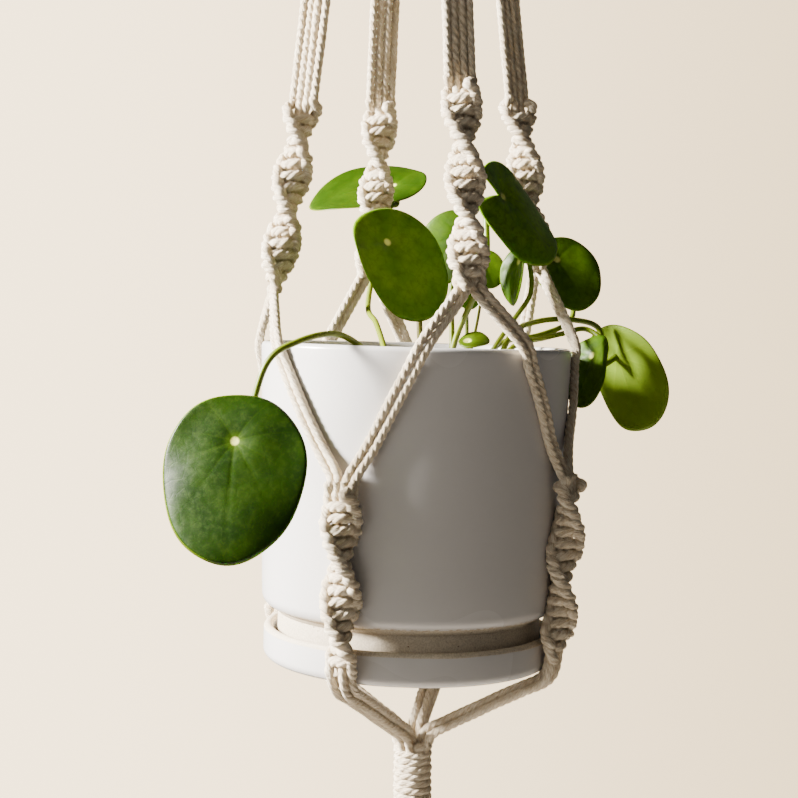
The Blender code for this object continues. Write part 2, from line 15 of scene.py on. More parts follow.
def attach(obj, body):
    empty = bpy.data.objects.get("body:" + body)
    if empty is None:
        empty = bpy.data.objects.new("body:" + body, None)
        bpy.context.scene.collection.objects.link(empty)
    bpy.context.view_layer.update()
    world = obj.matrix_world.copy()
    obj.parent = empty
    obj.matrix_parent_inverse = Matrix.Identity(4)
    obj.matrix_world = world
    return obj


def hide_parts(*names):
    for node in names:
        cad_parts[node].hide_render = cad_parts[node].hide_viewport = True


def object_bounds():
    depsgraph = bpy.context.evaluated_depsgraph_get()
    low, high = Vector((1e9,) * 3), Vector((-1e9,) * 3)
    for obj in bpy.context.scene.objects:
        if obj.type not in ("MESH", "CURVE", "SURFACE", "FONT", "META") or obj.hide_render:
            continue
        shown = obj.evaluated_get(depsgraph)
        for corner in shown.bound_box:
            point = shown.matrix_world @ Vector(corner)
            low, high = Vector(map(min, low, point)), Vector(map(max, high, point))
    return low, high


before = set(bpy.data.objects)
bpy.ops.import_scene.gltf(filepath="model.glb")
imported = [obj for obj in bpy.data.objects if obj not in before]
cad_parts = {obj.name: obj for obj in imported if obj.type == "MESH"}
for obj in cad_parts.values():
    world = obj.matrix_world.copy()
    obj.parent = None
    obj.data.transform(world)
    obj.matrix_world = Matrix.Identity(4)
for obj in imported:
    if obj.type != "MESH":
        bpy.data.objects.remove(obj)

CAD_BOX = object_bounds()

# ---- Dimensions, as the CAD has them --------------------------------------------------------

CORD = 0.0034
RIM_HEIGHT = -0.557
POT_LEAN = radians(1.2)
LEAN_PIVOT = -0.012
POT_RIM_RADIUS = 0.0650
POT_BASE_RADIUS = 0.0623
POT_WALL = 0.0040
GLAZE_BOTTOM = -0.1105
POT_CORNER = 0.0055
FOOT_RADIUS = 0.0555
FOOT_BOTTOM = -0.1267
FOOT_RING_WIDTH = 0.0060
POT_FLOOR = -0.1140
DRAIN_RADIUS = 0.0060
SAUCER_RADIUS = 0.0613
SAUCER_WALL = 0.0040
SAUCER_TOP = -0.1185
SAUCER_FLOOR = FOOT_BOTTOM - 0.0003
SAUCER_BOTTOM = -0.1325
SAUCER_FOOT_RADIUS = 0.0500
SAUCER_FOOT_BOTTOM = -0.1340
SOIL_TOP = -0.0160
PLANT_SHIFT = -0.0015

RING_BORE_RADIUS = 0.0200
RING_BAR_RADIUS = 0.0040
WRAP_RADIUS = 0.0082
WRAP_PITCH = 0.0033
TOP_WRAP_TURNS = 11
GATHER_WRAP_TURNS = 15
GATHER_TOP = -0.1690
WRAP_TOP = -2 * (RING_BORE_RADIUS + RING_BAR_RADIUS) + RING_BAR_RADIUS - 0.0103
TOP_WRAP_BOTTOM = WRAP_TOP - TOP_WRAP_TURNS * WRAP_PITCH
GATHER_BOTTOM = RIM_HEIGHT + GATHER_TOP - GATHER_WRAP_TURNS * WRAP_PITCH

ARM_RADIUS_AT_WRAP = 0.0055
ARM_BEND_HEIGHT = 0.1020
ARM_BEND_RADIUS = 0.0478
ARM_FLARE = 0.150
ARM_HALF_TURN = 0.0290
LOW_TOP = -0.0560
LOW_BOTTOM = -0.1245
LOW_HALF_TURN = 0.0310
LOW_TOP_STANDOFF = 0.0066
LOW_BOTTOM_STANDOFF = 0.0040
TASSEL_LENGTH = 0.1150

# Each arm: place round the pot, the way its flat side faces, top and bottom of its knots.
ARMS = {
    "front": (19.6, 15.0, 0.1015, 0.0255),
    "right": (115.0, 40.0, 0.1030, 0.0350),
    "back": (200.0, 190.0, 0.1045, 0.0330),
    "left": (281.0, 335.0, 0.0975, 0.0245),
}
LOW_KNOTS = {"front_left": 336.5, "front_right": 64.0, "back_right": 162.0, "back_left": 238.0}
# How far below the top of its knots each spiral first has its flat side to the front.
FIRST_BULGE = {
    "front": 0.0089,
    "right": 0.0010,
    "back": 0.0088,
    "left": -0.0010,
    "front_left": 0.0118,
    "front_right": -0.0065,
    "back_right": 0.0050,
    "back_left": 0.0050,
}
PAIRS = [
    ("front", "front_left", -1),
    ("front", "front_right", 1),
    ("right", "front_right", -1),
    ("right", "back_right", 1),
    ("back", "back_right", -1),
    ("back", "back_left", 1),
    ("left", "back_left", -1),
    ("left", "front_left", 1),
]

# The rope: three strands laid in an S twist.
ROPE_RADIUS = CORD / 2
ROPE_LAY = 0.0105
KNOT_ROPE_RADIUS = 0.0020
HALF_KNOT_PITCH = 0.0048
BAR_REACH = 0.0061  # from the knots' axis to the loops at their sides
LANE_GAP = 0.95  # between cords that lie side by side, in cords

UP = np.array((0.0, 0.0, 1.0))
random = np.random.default_rng(7)


# ---- Places ---------------------------------------------------------------------------------


def outward(azimuth):
    return np.array((sin(radians(azimuth)), -cos(radians(azimuth)), 0.0))


def sideways(azimuth):
    return np.array((cos(radians(azimuth)), sin(radians(azimuth)), 0.0))


def above_rim(x, y, height):
    return np.array((x, y, RIM_HEIGHT + height))


def pot_axis(height):
    return np.array((sin(POT_LEAN) * (height - LEAN_PIVOT), 0.0, 0.0))


def wall_radius(height):
    taper = (POT_RIM_RADIUS - POT_BASE_RADIUS) / -GLAZE_BOTTOM
    return max(POT_RIM_RADIUS + taper * min(height, 0), SAUCER_RADIUS)


def beside_wall(azimuth, height, standoff):
    reach = outward(azimuth) * (wall_radius(height) + standoff)
    return above_rim(0, 0, height) + pot_axis(height) + reach


def clear_of_wall(point, clearance):
    """Moves a point that is too near the pot's wall straight out from it."""
    height = point[2] - RIM_HEIGHT
    if height > 0.001 or SAUCER_BOTTOM - 0.002 > height:
        return point
    axis = above_rim(0, 0, height) + pot_axis(height)
    reach = point - axis
    distance = np.linalg.norm(reach)
    needed = wall_radius(height) + clearance
    return point if distance >= needed else axis + reach * (needed / distance)


def arm_radius(height):
    if height < ARM_BEND_HEIGHT:
        return ARM_BEND_RADIUS + ARM_FLARE * (ARM_BEND_HEIGHT - height)
    top = TOP_WRAP_BOTTOM - RIM_HEIGHT
    share = (top - height) / (top - ARM_BEND_HEIGHT)
    return ARM_RADIUS_AT_WRAP + (ARM_BEND_RADIUS - ARM_RADIUS_AT_WRAP) * share


def arm_point(azimuth, height):
    return above_rim(0, 0, height) + outward(azimuth) * arm_radius(height)


def low_knot_point(azimuth, height):
    share = (LOW_TOP - height) / (LOW_TOP - LOW_BOTTOM)
    standoff = LOW_TOP_STANDOFF + share * (LOW_BOTTOM_STANDOFF - LOW_TOP_STANDOFF)
    return beside_wall(azimuth, height, standoff)


def leaning():
    """From the pot's upright frame, with its rim at height 0, to its place."""
    pivot = Matrix.Translation((0, 0, LEAN_PIVOT))
    turn = Matrix.Rotation(POT_LEAN, 4, "Y")
    return Matrix.Translation((0, 0, RIM_HEIGHT)) @ pivot @ turn @ pivot.inverted()


# ---- Curves ---------------------------------------------------------------------------------


def unit(vector):
    return vector / np.linalg.norm(vector)


def smooth(points, per_span=8):
    """A Catmull-Rom curve through the points."""
    points = [np.asarray(p, float) for p in points]
    ends = [2 * points[0] - points[1], *points, 2 * points[-1] - points[-2]]
    t = (np.arange(per_span) / per_span)[:, None]
    spans = []
    for a, b, c, d in zip(ends, ends[1:], ends[2:], ends[3:]):
        bend = 2 * a - 5 * b + 4 * c - d
        twist = 3 * b - 3 * c + d - a
        spans.append(0.5 * (2 * b + (c - a) * t + bend * t**2 + twist * t**3))
    return np.vstack([*spans, points[-1]])


def lengths_along(path):
    return np.concatenate(([0.0], np.cumsum(np.linalg.norm(np.diff(path, axis=0), axis=1))))


def evenly(path, step):
    """The same path with points an equal distance apart."""
    along = lengths_along(path)
    count = max(2, round(along[-1] / step) + 1)
    wanted = np.linspace(0, along[-1], count)
    return np.column_stack([np.interp(wanted, along, path[:, axis]) for axis in range(3)])


def directions(path):
    ahead = np.gradient(path, axis=0)
    return ahead / np.linalg.norm(ahead, axis=1)[:, None]


def side_vectors(path):
    """Two vectors across the path at each point, carried along it without twisting."""
    ahead = directions(path)
    start = np.cross(ahead[0], UP if abs(ahead[0][2]) < 0.9 else (1.0, 0.0, 0.0))
    side = unit(start)
    sides = []
    for direction in ahead:
        side = unit(side - direction * side.dot(direction))
        sides.append(side)
    sides = np.array(sides)
    return sides, np.cross(ahead, sides)


# ---- Meshes ---------------------------------------------------------------------------------


def linked(name, data):
    made = bpy.data.objects.new(name, data)
    bpy.context.scene.collection.objects.link(made)
    return made


def finished(name, mesh, surface, nodes, place=None):
    """A finished piece: a mesh that rides on the root and stands for CAD nodes."""
    mesh.shade_smooth()
    mesh.materials.append(surface)
    made = linked(name, mesh)
    if place:
        made.matrix_world = place
    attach(made, "root")
    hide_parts(*nodes)
    return made


def new_piece(name, vertices, faces, surface, nodes, place=None):
    mesh = bpy.data.meshes.new(name)
    mesh.from_pydata(vertices, [], faces)
    mesh.update()
    return finished(name, mesh, surface, nodes, place)


def face_outwards(piece):
    bm = bmesh.new()
    bm.from_mesh(piece.data)
    bmesh.ops.recalc_face_normals(bm, faces=bm.faces)
    bm.to_mesh(piece.data)
    bm.free()


def store(piece, name, values):
    """Keeps a vector for each vertex, which the material reads."""
    attribute = piece.data.attributes.new(name, "FLOAT_VECTOR", "POINT")
    attribute.data.foreach_set("vector", np.asarray(values, np.float32).ravel())


def round_the_path(path, distance, around):
    """Points about a path: a distance and an angle for each section and side."""
    side, up = side_vectors(path)
    points = path[:, None, :] + side[:, None, :] * (distance * np.cos(around))[:, :, None]
    return points + up[:, None, :] * (distance * np.sin(around))[:, :, None]


def quads_between(index):
    """Quads from each section to the next, where index has a row for each section."""
    following = np.roll(index, -1, axis=1)
    quads = np.stack([index[:-1], following[:-1], following[1:], index[1:]], axis=2)
    return quads.reshape(-1, 4).tolist()


def tube_faces(index):
    """The quads and both end caps."""
    return [*quads_between(index), index[0][::-1].tolist(), index[-1].tolist()]


class Rope:
    """Three-strand ropes gathered into one mesh."""

    def __init__(self, sides=18):
        self.sides = sides
        self.vertices = []
        self.faces = []
        self.grain = []
        self.count = 0

    def profile(self):
        """Distance of the surface from the rope's middle over its thickness, round the rope."""
        angles = 2 * pi * np.arange(self.sides) / self.sides
        from_crest = (angles + pi / 3) % (2 * pi / 3) - pi / 3
        return angles, 0.80 + 0.26 * np.abs(np.cos(1.5 * from_crest)) ** 0.8

    def add(self, path, radius=ROPE_RADIUS, step=0.0007, phase=0.0, taper=0.0):
        """Lays one rope along a path; taper narrows its two ends to close them softly."""
        path = evenly(np.asarray(path), step)
        along = lengths_along(path)
        angles, reach = self.profile()
        twist = phase - 2 * pi * along / ROPE_LAY
        around = angles[None, :] + twist[:, None]
        wobble = 1 + 0.025 * np.sin(along / 0.0031 + phase)
        wobble = wobble + 0.02 * np.sin(along / 0.0073 + 2 * phase)
        width = radius * wobble
        if taper:
            from_end = np.minimum(along, along[-1] - along)
            width = width * (1 - taper * np.exp(-((from_end / 0.0008) ** 2)))
        points = round_the_path(path, width[:, None] * reach[None, :], around)
        fibre = angles[None, :] + 0.45 * twist[:, None]
        grain = np.stack([
            radius * np.cos(fibre),
            radius * np.sin(fibre),
            np.repeat(along[:, None] + 0.37 * phase, self.sides, axis=1),
        ], axis=2)
        self.join(points, grain)

    def join(self, points, grain):
        sections, sides = points.shape[:2]
        self.faces += tube_faces(self.count + np.arange(sections * sides).reshape(sections, sides))
        self.vertices.append(points.reshape(-1, 3))
        self.grain.append(grain.reshape(-1, 3))
        self.count += sections * sides

    def build(self, name, surface, nodes):
        vertices = np.vstack(self.vertices)
        piece = new_piece(name, vertices.tolist(), self.faces, surface, nodes)
        store(piece, "grain", np.vstack(self.grain))
        return piece


# ---- Materials ------------------------------------------------------------------------------


class Nodes:
    """A node tree and the ways to add to it."""

    def __init__(self, tree):
        self.tree = tree

    def node(self, kind, settings=(), **inputs):
        made = self.tree.nodes.new("ShaderNode" + kind)
        for name, value in dict(settings).items():
            setattr(made, name, value)
        for name, value in inputs.items():
            self.feed(made.inputs[name.replace("_", " ")], value)
        return made

    def feed(self, socket, value):
        if isinstance(value, bpy.types.NodeSocket):
            self.tree.links.new(value, socket)
        else:
            socket.default_value = value

    def math(self, operation, first, second=0.0):
        made = self.node("Math", {"operation": operation})
        self.feed(made.inputs[0], first)
        self.feed(made.inputs[1], second)
        return made.outputs[0]

    def times(self, first, second):
        return self.math("MULTIPLY", first, second)

    def plus(self, first, second):
        return self.math("ADD", first, second)

    def place(self):
        return self.node("TexCoord").outputs["Object"]

    def attribute(self, name):
        return self.node("Attribute", {"attribute_name": name}).outputs["Vector"]

    def stretched(self, vector, scale):
        return self.node("Mapping", Vector=vector, Scale=scale).outputs["Vector"]

    def noise(self, vector, scale, detail=4.0, roughness=0.55):
        made = self.node("TexNoise", Vector=vector, Scale=scale, Detail=detail, Roughness=roughness)
        return made.outputs["Fac"]

    def between(self, value, low, high, new_low=0.0, new_high=1.0):
        made = self.node("MapRange", {"interpolation_type": "SMOOTHSTEP"}, Value=value)
        ends = {"From Min": low, "From Max": high, "To Min": new_low, "To Max": new_high}
        for name, number in ends.items():
            made.inputs[name].default_value = number
        return made.outputs["Result"]

    def mix(self, share, first, second):
        made = self.node("Mix", {"data_type": "RGBA"})
        self.feed(made.inputs["Factor"], share)
        for socket, value in ((made.inputs[6], first), (made.inputs[7], second)):
            self.feed(socket, value if isinstance(value, bpy.types.NodeSocket) else (*value, 1.0))
        return made.outputs[2]


class Surface(Nodes):
    """A material made of nodes round one Principled shader."""

    def __init__(self, name, **shader):
        self.material = bpy.data.materials.new(name)
        self.material.use_nodes = True
        super().__init__(self.material.node_tree)
        self.shader = self.tree.nodes["Principled BSDF"]
        for socket, value in shader.items():
            self.shader.inputs[socket.replace("_", " ")].default_value = value

    def colour(self, socket):
        self.feed(self.shader.inputs["Base Color"], socket)

    def roughness(self, socket):
        self.feed(self.shader.inputs["Roughness"], socket)

    def bump(self, height, strength, distance):
        made = self.node("Bump", Height=height, Strength=strength, Distance=distance)
        self.feed(self.shader.inputs["Normal"], made.outputs["Normal"])


def cotton():
    """Unbleached cotton: fine fibres along the strands with painted shade in the grooves between yarns
    and fibres, and slubs that vary in tone.
    """
    made = Surface("cotton_rope", Sheen_Weight=0.25, Sheen_Roughness=0.6, Specular_IOR_Level=0.15)
    grain = made.attribute("grain")
    fibres = made.noise(made.stretched(grain, (1.0, 1.0, 0.16)), 5200, 3.0, 0.6)
    yarn = made.noise(made.stretched(grain, (1.0, 1.0, 0.12)), 2600, 2.0, 0.5)
    slub = made.noise(made.place(), 160, 3.0)
    tone = made.mix(made.between(slub, 0.35, 0.68), (0.82, 0.69, 0.49), (0.92, 0.81, 0.62))
    # Painted shade: the yarn and fibre noise also shape the bump, and the colour darkens where they are
    # low, in the grooves between yarns and fibres.
    tone = made.mix(made.between(yarn, 0.48, 0.36), tone, (0.66, 0.51, 0.32))
    made.colour(made.mix(made.between(fibres, 0.50, 0.32), tone, (0.60, 0.45, 0.27)))
    made.roughness(made.between(fibres, 0.3, 0.7, 0.95, 0.8))
    height = made.plus(made.times(fibres, 0.5), yarn)
    made.bump(height, 1.0, 0.0013)
    return made.material


# ---- Rope work ------------------------------------------------------------------------------


def in_knot_frame(centre, facing, across, inward):
    """A point beside the axis of a run of knots whose flat side faces an azimuth."""
    return centre + sideways(facing) * across - outward(facing) * inward


def half_knot_route():
    """One working cord through one half knot, as (across, inward, down in pitches).

    It comes round the right side, drops outside the other cord's end, crosses the front to the
    left and tucks in behind the other cord's loop. The other cord does the same, half a turn on.
    """
    reach = BAR_REACH
    return [
        (reach, -0.0009, 0.00),
        (reach * 1.06, 0.0005, 0.31),
        (reach * 0.97, 0.0017, 0.66),
        (reach * 0.76, 0.0005, 0.95),
        (reach * 0.46, -0.0019, 0.98),
        (0.0, -0.0024, 1.03),
        (reach * -0.42, -0.0019, 1.08),
        (reach * -0.70, -0.0002, 1.13),
    ]


def knot_run(name, centre_of, azimuth, top, bottom, half_turn, bulge, lanes, surface, node):
    """A spiral of half knots tied with two cords round two others.

    Above the knots the four cords lie side by side, facing the azimuth given as lanes.
    """
    count = round((top - bottom) / HALF_KNOT_PITCH - 0.7)
    pitch = (top - bottom) / (count + 0.7)
    rope = Rope(20)

    def place(across, inward, fall):
        facing = 180 * (fall - bulge) / half_turn
        point = in_knot_frame(centre_of(azimuth, top - fall), facing, across, inward)
        return clear_of_wall(point, KNOT_ROPE_RADIUS * 0.85)

    def above(lane, fall):
        return in_knot_frame(centre_of(azimuth, top - fall), lanes, lane * CORD * LANE_GAP, 0.0)

    right_first = np.dot(sideways(lanes), sideways(-180 * bulge / half_turn)) > 0
    for cord in (0, 1):
        lane = 1.5 if (cord == 0) == right_first else -1.5
        points = [above(lane, -0.0045), above(lane, -0.0020)]
        for knot in range(count):
            flip = 1 if (knot + cord) % 2 == 0 else -1
            for across, inward, down in half_knot_route():
                jitter = random.normal(0, 0.00013, 3)
                fall = (knot + down) * pitch + jitter[2]
                points.append(place(flip * across + jitter[0], flip * inward + jitter[1], fall))
        flip = 1 if (count + cord) % 2 == 0 else -1
        points.append(place(flip * BAR_REACH * 0.95, 0.0, count * pitch + 0.0005))
        points.append(place(flip * 1.4 * CORD, 0.0, top - bottom + 0.0035))
        rope.add(smooth(points, 6), KNOT_ROPE_RADIUS, 0.0006, cord * 2.1, taper=0.4)
    for cord in (-1, 1):
        falls = np.linspace(0.004, top - bottom + 0.003, 22)
        core = [above(cord * 0.5, -0.0045), above(cord * 0.5, -0.001)]
        core += [place(cord * CORD * 0.45, 0.0, fall) for fall in falls]
        rope.add(smooth(core, 3), ROPE_RADIUS, 0.001, cord)
    return rope.build(name, surface, [node])


def arm_ropes(name, azimuth, facing, bottom, surface, node):
    """Four straight cords, bunched at the upper wrap and side by side above the knots."""
    top = TOP_WRAP_BOTTOM - RIM_HEIGHT + 0.006
    rope = Rope(18)
    for i in range(4):
        lane = i - 1.5
        bunched = sideways(azimuth) * (0.0016 * (-1) ** i)
        bunched = bunched + outward(azimuth) * (CORD * (i // 2) - 0.0042)
        points = []
        for share in np.linspace(0, 1, 9):
            height = top + (bottom + 0.0035 - top) * share
            flat = min(1, share * 1.6)
            offset = sideways(facing) * (lane * CORD * LANE_GAP)
            offset = offset + outward(facing) * (0.0006 * (-1) ** i * sin(pi * share))
            sway = random.normal(0, 0.00035, 2) * sin(pi * share)
            point = arm_point(azimuth, min(height, top)) + bunched * (1 - flat) + offset * flat
            points.append(point + np.array((sway[0], sway[1], 0)))
        rope.add(smooth(points, 12), ROPE_RADIUS, 0.0009, random.uniform(0, 2 * pi))
    return rope.build(name, surface, [node])


def pair_route(arm, low, turn):
    """The way of a pair of cords over the rim, as the CAD has it."""
    start_azimuth, _, _, knot_bottom = ARMS[arm]
    end_azimuth = LOW_KNOTS[low]
    end_azimuth += 360 * round((start_azimuth - end_azimuth) / 360)
    swing = end_azimuth - start_azimuth
    beside = turn * (CORD + 0.0003)
    start = arm_point(start_azimuth, knot_bottom) + sideways(start_azimuth) * beside
    end = low_knot_point(end_azimuth, LOW_TOP) - sideways(end_azimuth) * beside
    leave = start + np.array((0, 0, -0.004)) + outward(start_azimuth) * 0.0010
    arrive = end + np.array((0, 0, 0.006)) - outward(end_azimuth) * 0.0020
    over = [(0.40, 0.0020), (0.50, -0.0080), (0.65, -0.0230), (0.80, -0.0380)]
    points = [start + np.array((0, 0, 0.006)) - sideways(start_azimuth) * (beside * 0.3), start, leave]
    for share, height in over:
        points.append(beside_wall(start_azimuth + share * swing, height, CORD / 2 + 0.0004))
    points += [arrive, end, end + np.array((0, 0, -0.006)) + sideways(end_azimuth) * (beside * 0.3)]
    return smooth(points, 10)


def pair_ropes(arm, low, turn, surface):
    path = pair_route(arm, low, turn)
    ahead = directions(path)
    out = path * np.array((1.0, 1.0, 0.0))
    out = out / np.linalg.norm(out, axis=1)[:, None]
    across = np.cross(ahead, out)
    across = across / np.linalg.norm(across, axis=1)[:, None]
    rope = Rope(20)
    for lane in (-1, 1):
        spread = lane * CORD * 0.50
        points = [clear_of_wall(p, ROPE_RADIUS * 0.97) for p in path + across * spread]
        rope.add(np.array(points), ROPE_RADIUS, 0.0006, random.uniform(0, 2 * pi))
    return rope.build(f"rope_{arm}_to_{low}", surface, [f"pair_{arm}_to_{low}"])


def bundle_ropes(low, surface):
    """Four cords round the saucer's lower edge and in to the gathering wrap."""
    azimuth = LOW_KNOTS[low]
    reaches = [(0.0645, -0.1310), (0.0605, -0.1356), (0.0530, -0.1394), (0.0420, -0.1452)]
    reaches += [(0.0290, -0.1524), (0.0170, -0.1590), (0.0080, -0.1645)]
    start = low_knot_point(azimuth, LOW_BOTTOM)
    points = [start + np.array((0, 0, 0.006)), start]
    for radius, height in reaches:
        reach = outward(azimuth) * radius
        shift = pot_axis(height) * (radius / POT_RIM_RADIUS)
        drop = np.array((0, 0, sin(POT_LEAN) * reach[0]))
        points.append(above_rim(0, 0, height) + reach + shift - drop)
    points.append(above_rim(0, 0, GATHER_TOP - 0.004) + outward(azimuth) * ARM_RADIUS_AT_WRAP * 0.7)
    path = smooth(points, 8)
    ahead = directions(path)
    across = sideways(azimuth)
    through = np.cross(ahead, across)
    share = np.linspace(0, 1, len(path))[:, None]
    rope = Rope(20)
    lanes = [(-1.35, 0.15), (-0.45, -0.45), (0.45, 0.45), (1.35, -0.15)]
    for wide, deep in lanes:
        narrow = 0.50 * np.sign(wide) if abs(wide) > 1 else 0.42 * np.sign(wide)
        deep_end = 0.5 if wide in (-1.35, 0.45) else -0.5
        side = (wide * (1 - share) + narrow * share) * CORD
        depth = (deep * (1 - share) + deep_end * share) * CORD
        rope.add(path + across * side + through * depth, ROPE_RADIUS, 0.0006, random.uniform(0, 6))
    return rope.build(f"rope_{low}_to_wrap", surface, [f"low_bundle_{low}"])


def wrap_rope(name, top, turns, surface, node):
    """Close turns of cord round the bundle, and the bundle itself inside them."""
    radius = WRAP_RADIUS - ROPE_RADIUS
    steps = np.linspace(0, turns, turns * 24)
    angle = 2 * pi * steps
    reach = radius + 0.00012 * np.sin(angle * 0.37)
    height = top - ROPE_RADIUS * 0.8 - steps / turns * (turns * WRAP_PITCH - 1.6 * ROPE_RADIUS)
    path = np.column_stack([reach * np.sin(angle), -reach * np.cos(angle), height])
    rope = Rope(20)
    rope.add(path, ROPE_RADIUS * 1.04, 0.0006, 0.0, taper=0.5)
    heights = np.linspace(top - 0.0006, top - turns * WRAP_PITCH + 0.0006, 12)
    for i in range(6):
        turn = 2 * pi * i / 6
        beside = np.array((cos(turn), sin(turn), 0)) * CORD
        core = [beside + UP * z for z in heights]
        rope.add(core, ROPE_RADIUS * 1.25, 0.0012, turn)
    return rope.build(name, surface, [node])


def hitch_ropes(surface):
    """Eight cords doubled over the ring, sixteen ends going down into the upper wrap."""
    rope = Rope(18)
    ring_middle = np.array((0, 0, -RING_BORE_RADIUS))
    lift = RING_BAR_RADIUS + ROPE_RADIUS * 0.92
    for i in range(8):
        angle = radians(25) * (2 * i / 7 - 1)
        away = np.array((sin(angle), 0, -cos(angle)))
        bar = ring_middle + away * (RING_BORE_RADIUS + RING_BAR_RADIUS)
        over = []
        for turn in np.radians(np.linspace(-100, 100, 11)):
            over.append(bar - away * (lift * cos(turn)) + np.array((0, lift * sin(turn), 0)))
        legs = []
        for side in (-1, 1):
            depth = 0.0016 if i % 2 else 0.0042
            down = np.array((bar[0] * 0.36, side * depth, WRAP_TOP - 0.004))
            middle = np.array((bar[0] * 0.62, side * (lift + depth) * 0.5, WRAP_TOP + 0.0035))
            legs.append((middle, down))
        points = [legs[0][1], legs[0][0], *over, legs[1][0], legs[1][1]]
        rope.add(smooth(points, 5), ROPE_RADIUS * 0.95, 0.0008, i * 1.3)
    return rope.build("rope_over_ring", surface, ["ring_hitch_cords"])


def tassel_ropes(surface):
    """Sixteen loose ends below the gathering wrap, each a cord of its own."""
    places = [(0, 0)] + [(1, 72 * i) for i in range(5)] + [(2, 36 * i + 11) for i in range(10)]
    for number, (ring, turn) in enumerate(places, 1):
        near = (0.0, 0.0031, 0.0060)[ring]
        far = (0.0, 0.0045, 0.0108)[ring]
        aim = np.array((cos(radians(turn)), sin(radians(turn)), 0))
        length = TASSEL_LENGTH - 0.002 - random.uniform(0, 0.005)
        points = []
        for share in np.linspace(0, 1, 8):
            reach = near + (far - near) * sqrt(share)
            sway = random.normal(0, 0.0005, 2) * share
            point = aim * reach + np.array((sway[0], sway[1], GATHER_BOTTOM - 0.0006 - length * share))
            points.append(point)
        path = evenly(smooth(points, 10), 0.0007)
        rope = Rope(18)
        rope.add(path, ROPE_RADIUS * 0.97, 0.0007, random.uniform(0, 6), taper=0.25)
        piece = rope.build(f"tassel_cord_{number:02d}", surface, ["tassel"])


def build_hanger():
    rope = cotton()
    for arm, (azimuth, facing, top, bottom) in ARMS.items():
        arm_ropes(f"rope_arm_{arm}", azimuth, facing, top, rope, f"arm_cords_{arm}")
        extent = (top, bottom, ARM_HALF_TURN, FIRST_BULGE[arm], facing)
        knot_run(f"knots_arm_{arm}", arm_point, azimuth, *extent, rope, f"arm_knots_{arm}")
    for arm, low, turn in PAIRS:
        pair_ropes(arm, low, turn, rope)
    for low, azimuth in LOW_KNOTS.items():
        extent = (LOW_TOP, LOW_BOTTOM, LOW_HALF_TURN, FIRST_BULGE[low], azimuth)
        knot_run(f"knots_{low}", low_knot_point, azimuth, *extent, rope, f"low_knots_{low}")
        bundle_ropes(low, rope)
    wrap_rope("upper_wrap", WRAP_TOP, TOP_WRAP_TURNS, rope, "top_wrap")
    wrap_rope("lower_wrap", RIM_HEIGHT + GATHER_TOP, GATHER_WRAP_TURNS, rope, "gathering_wrap")
    hitch_ropes(rope)
    tassel_ropes(rope)
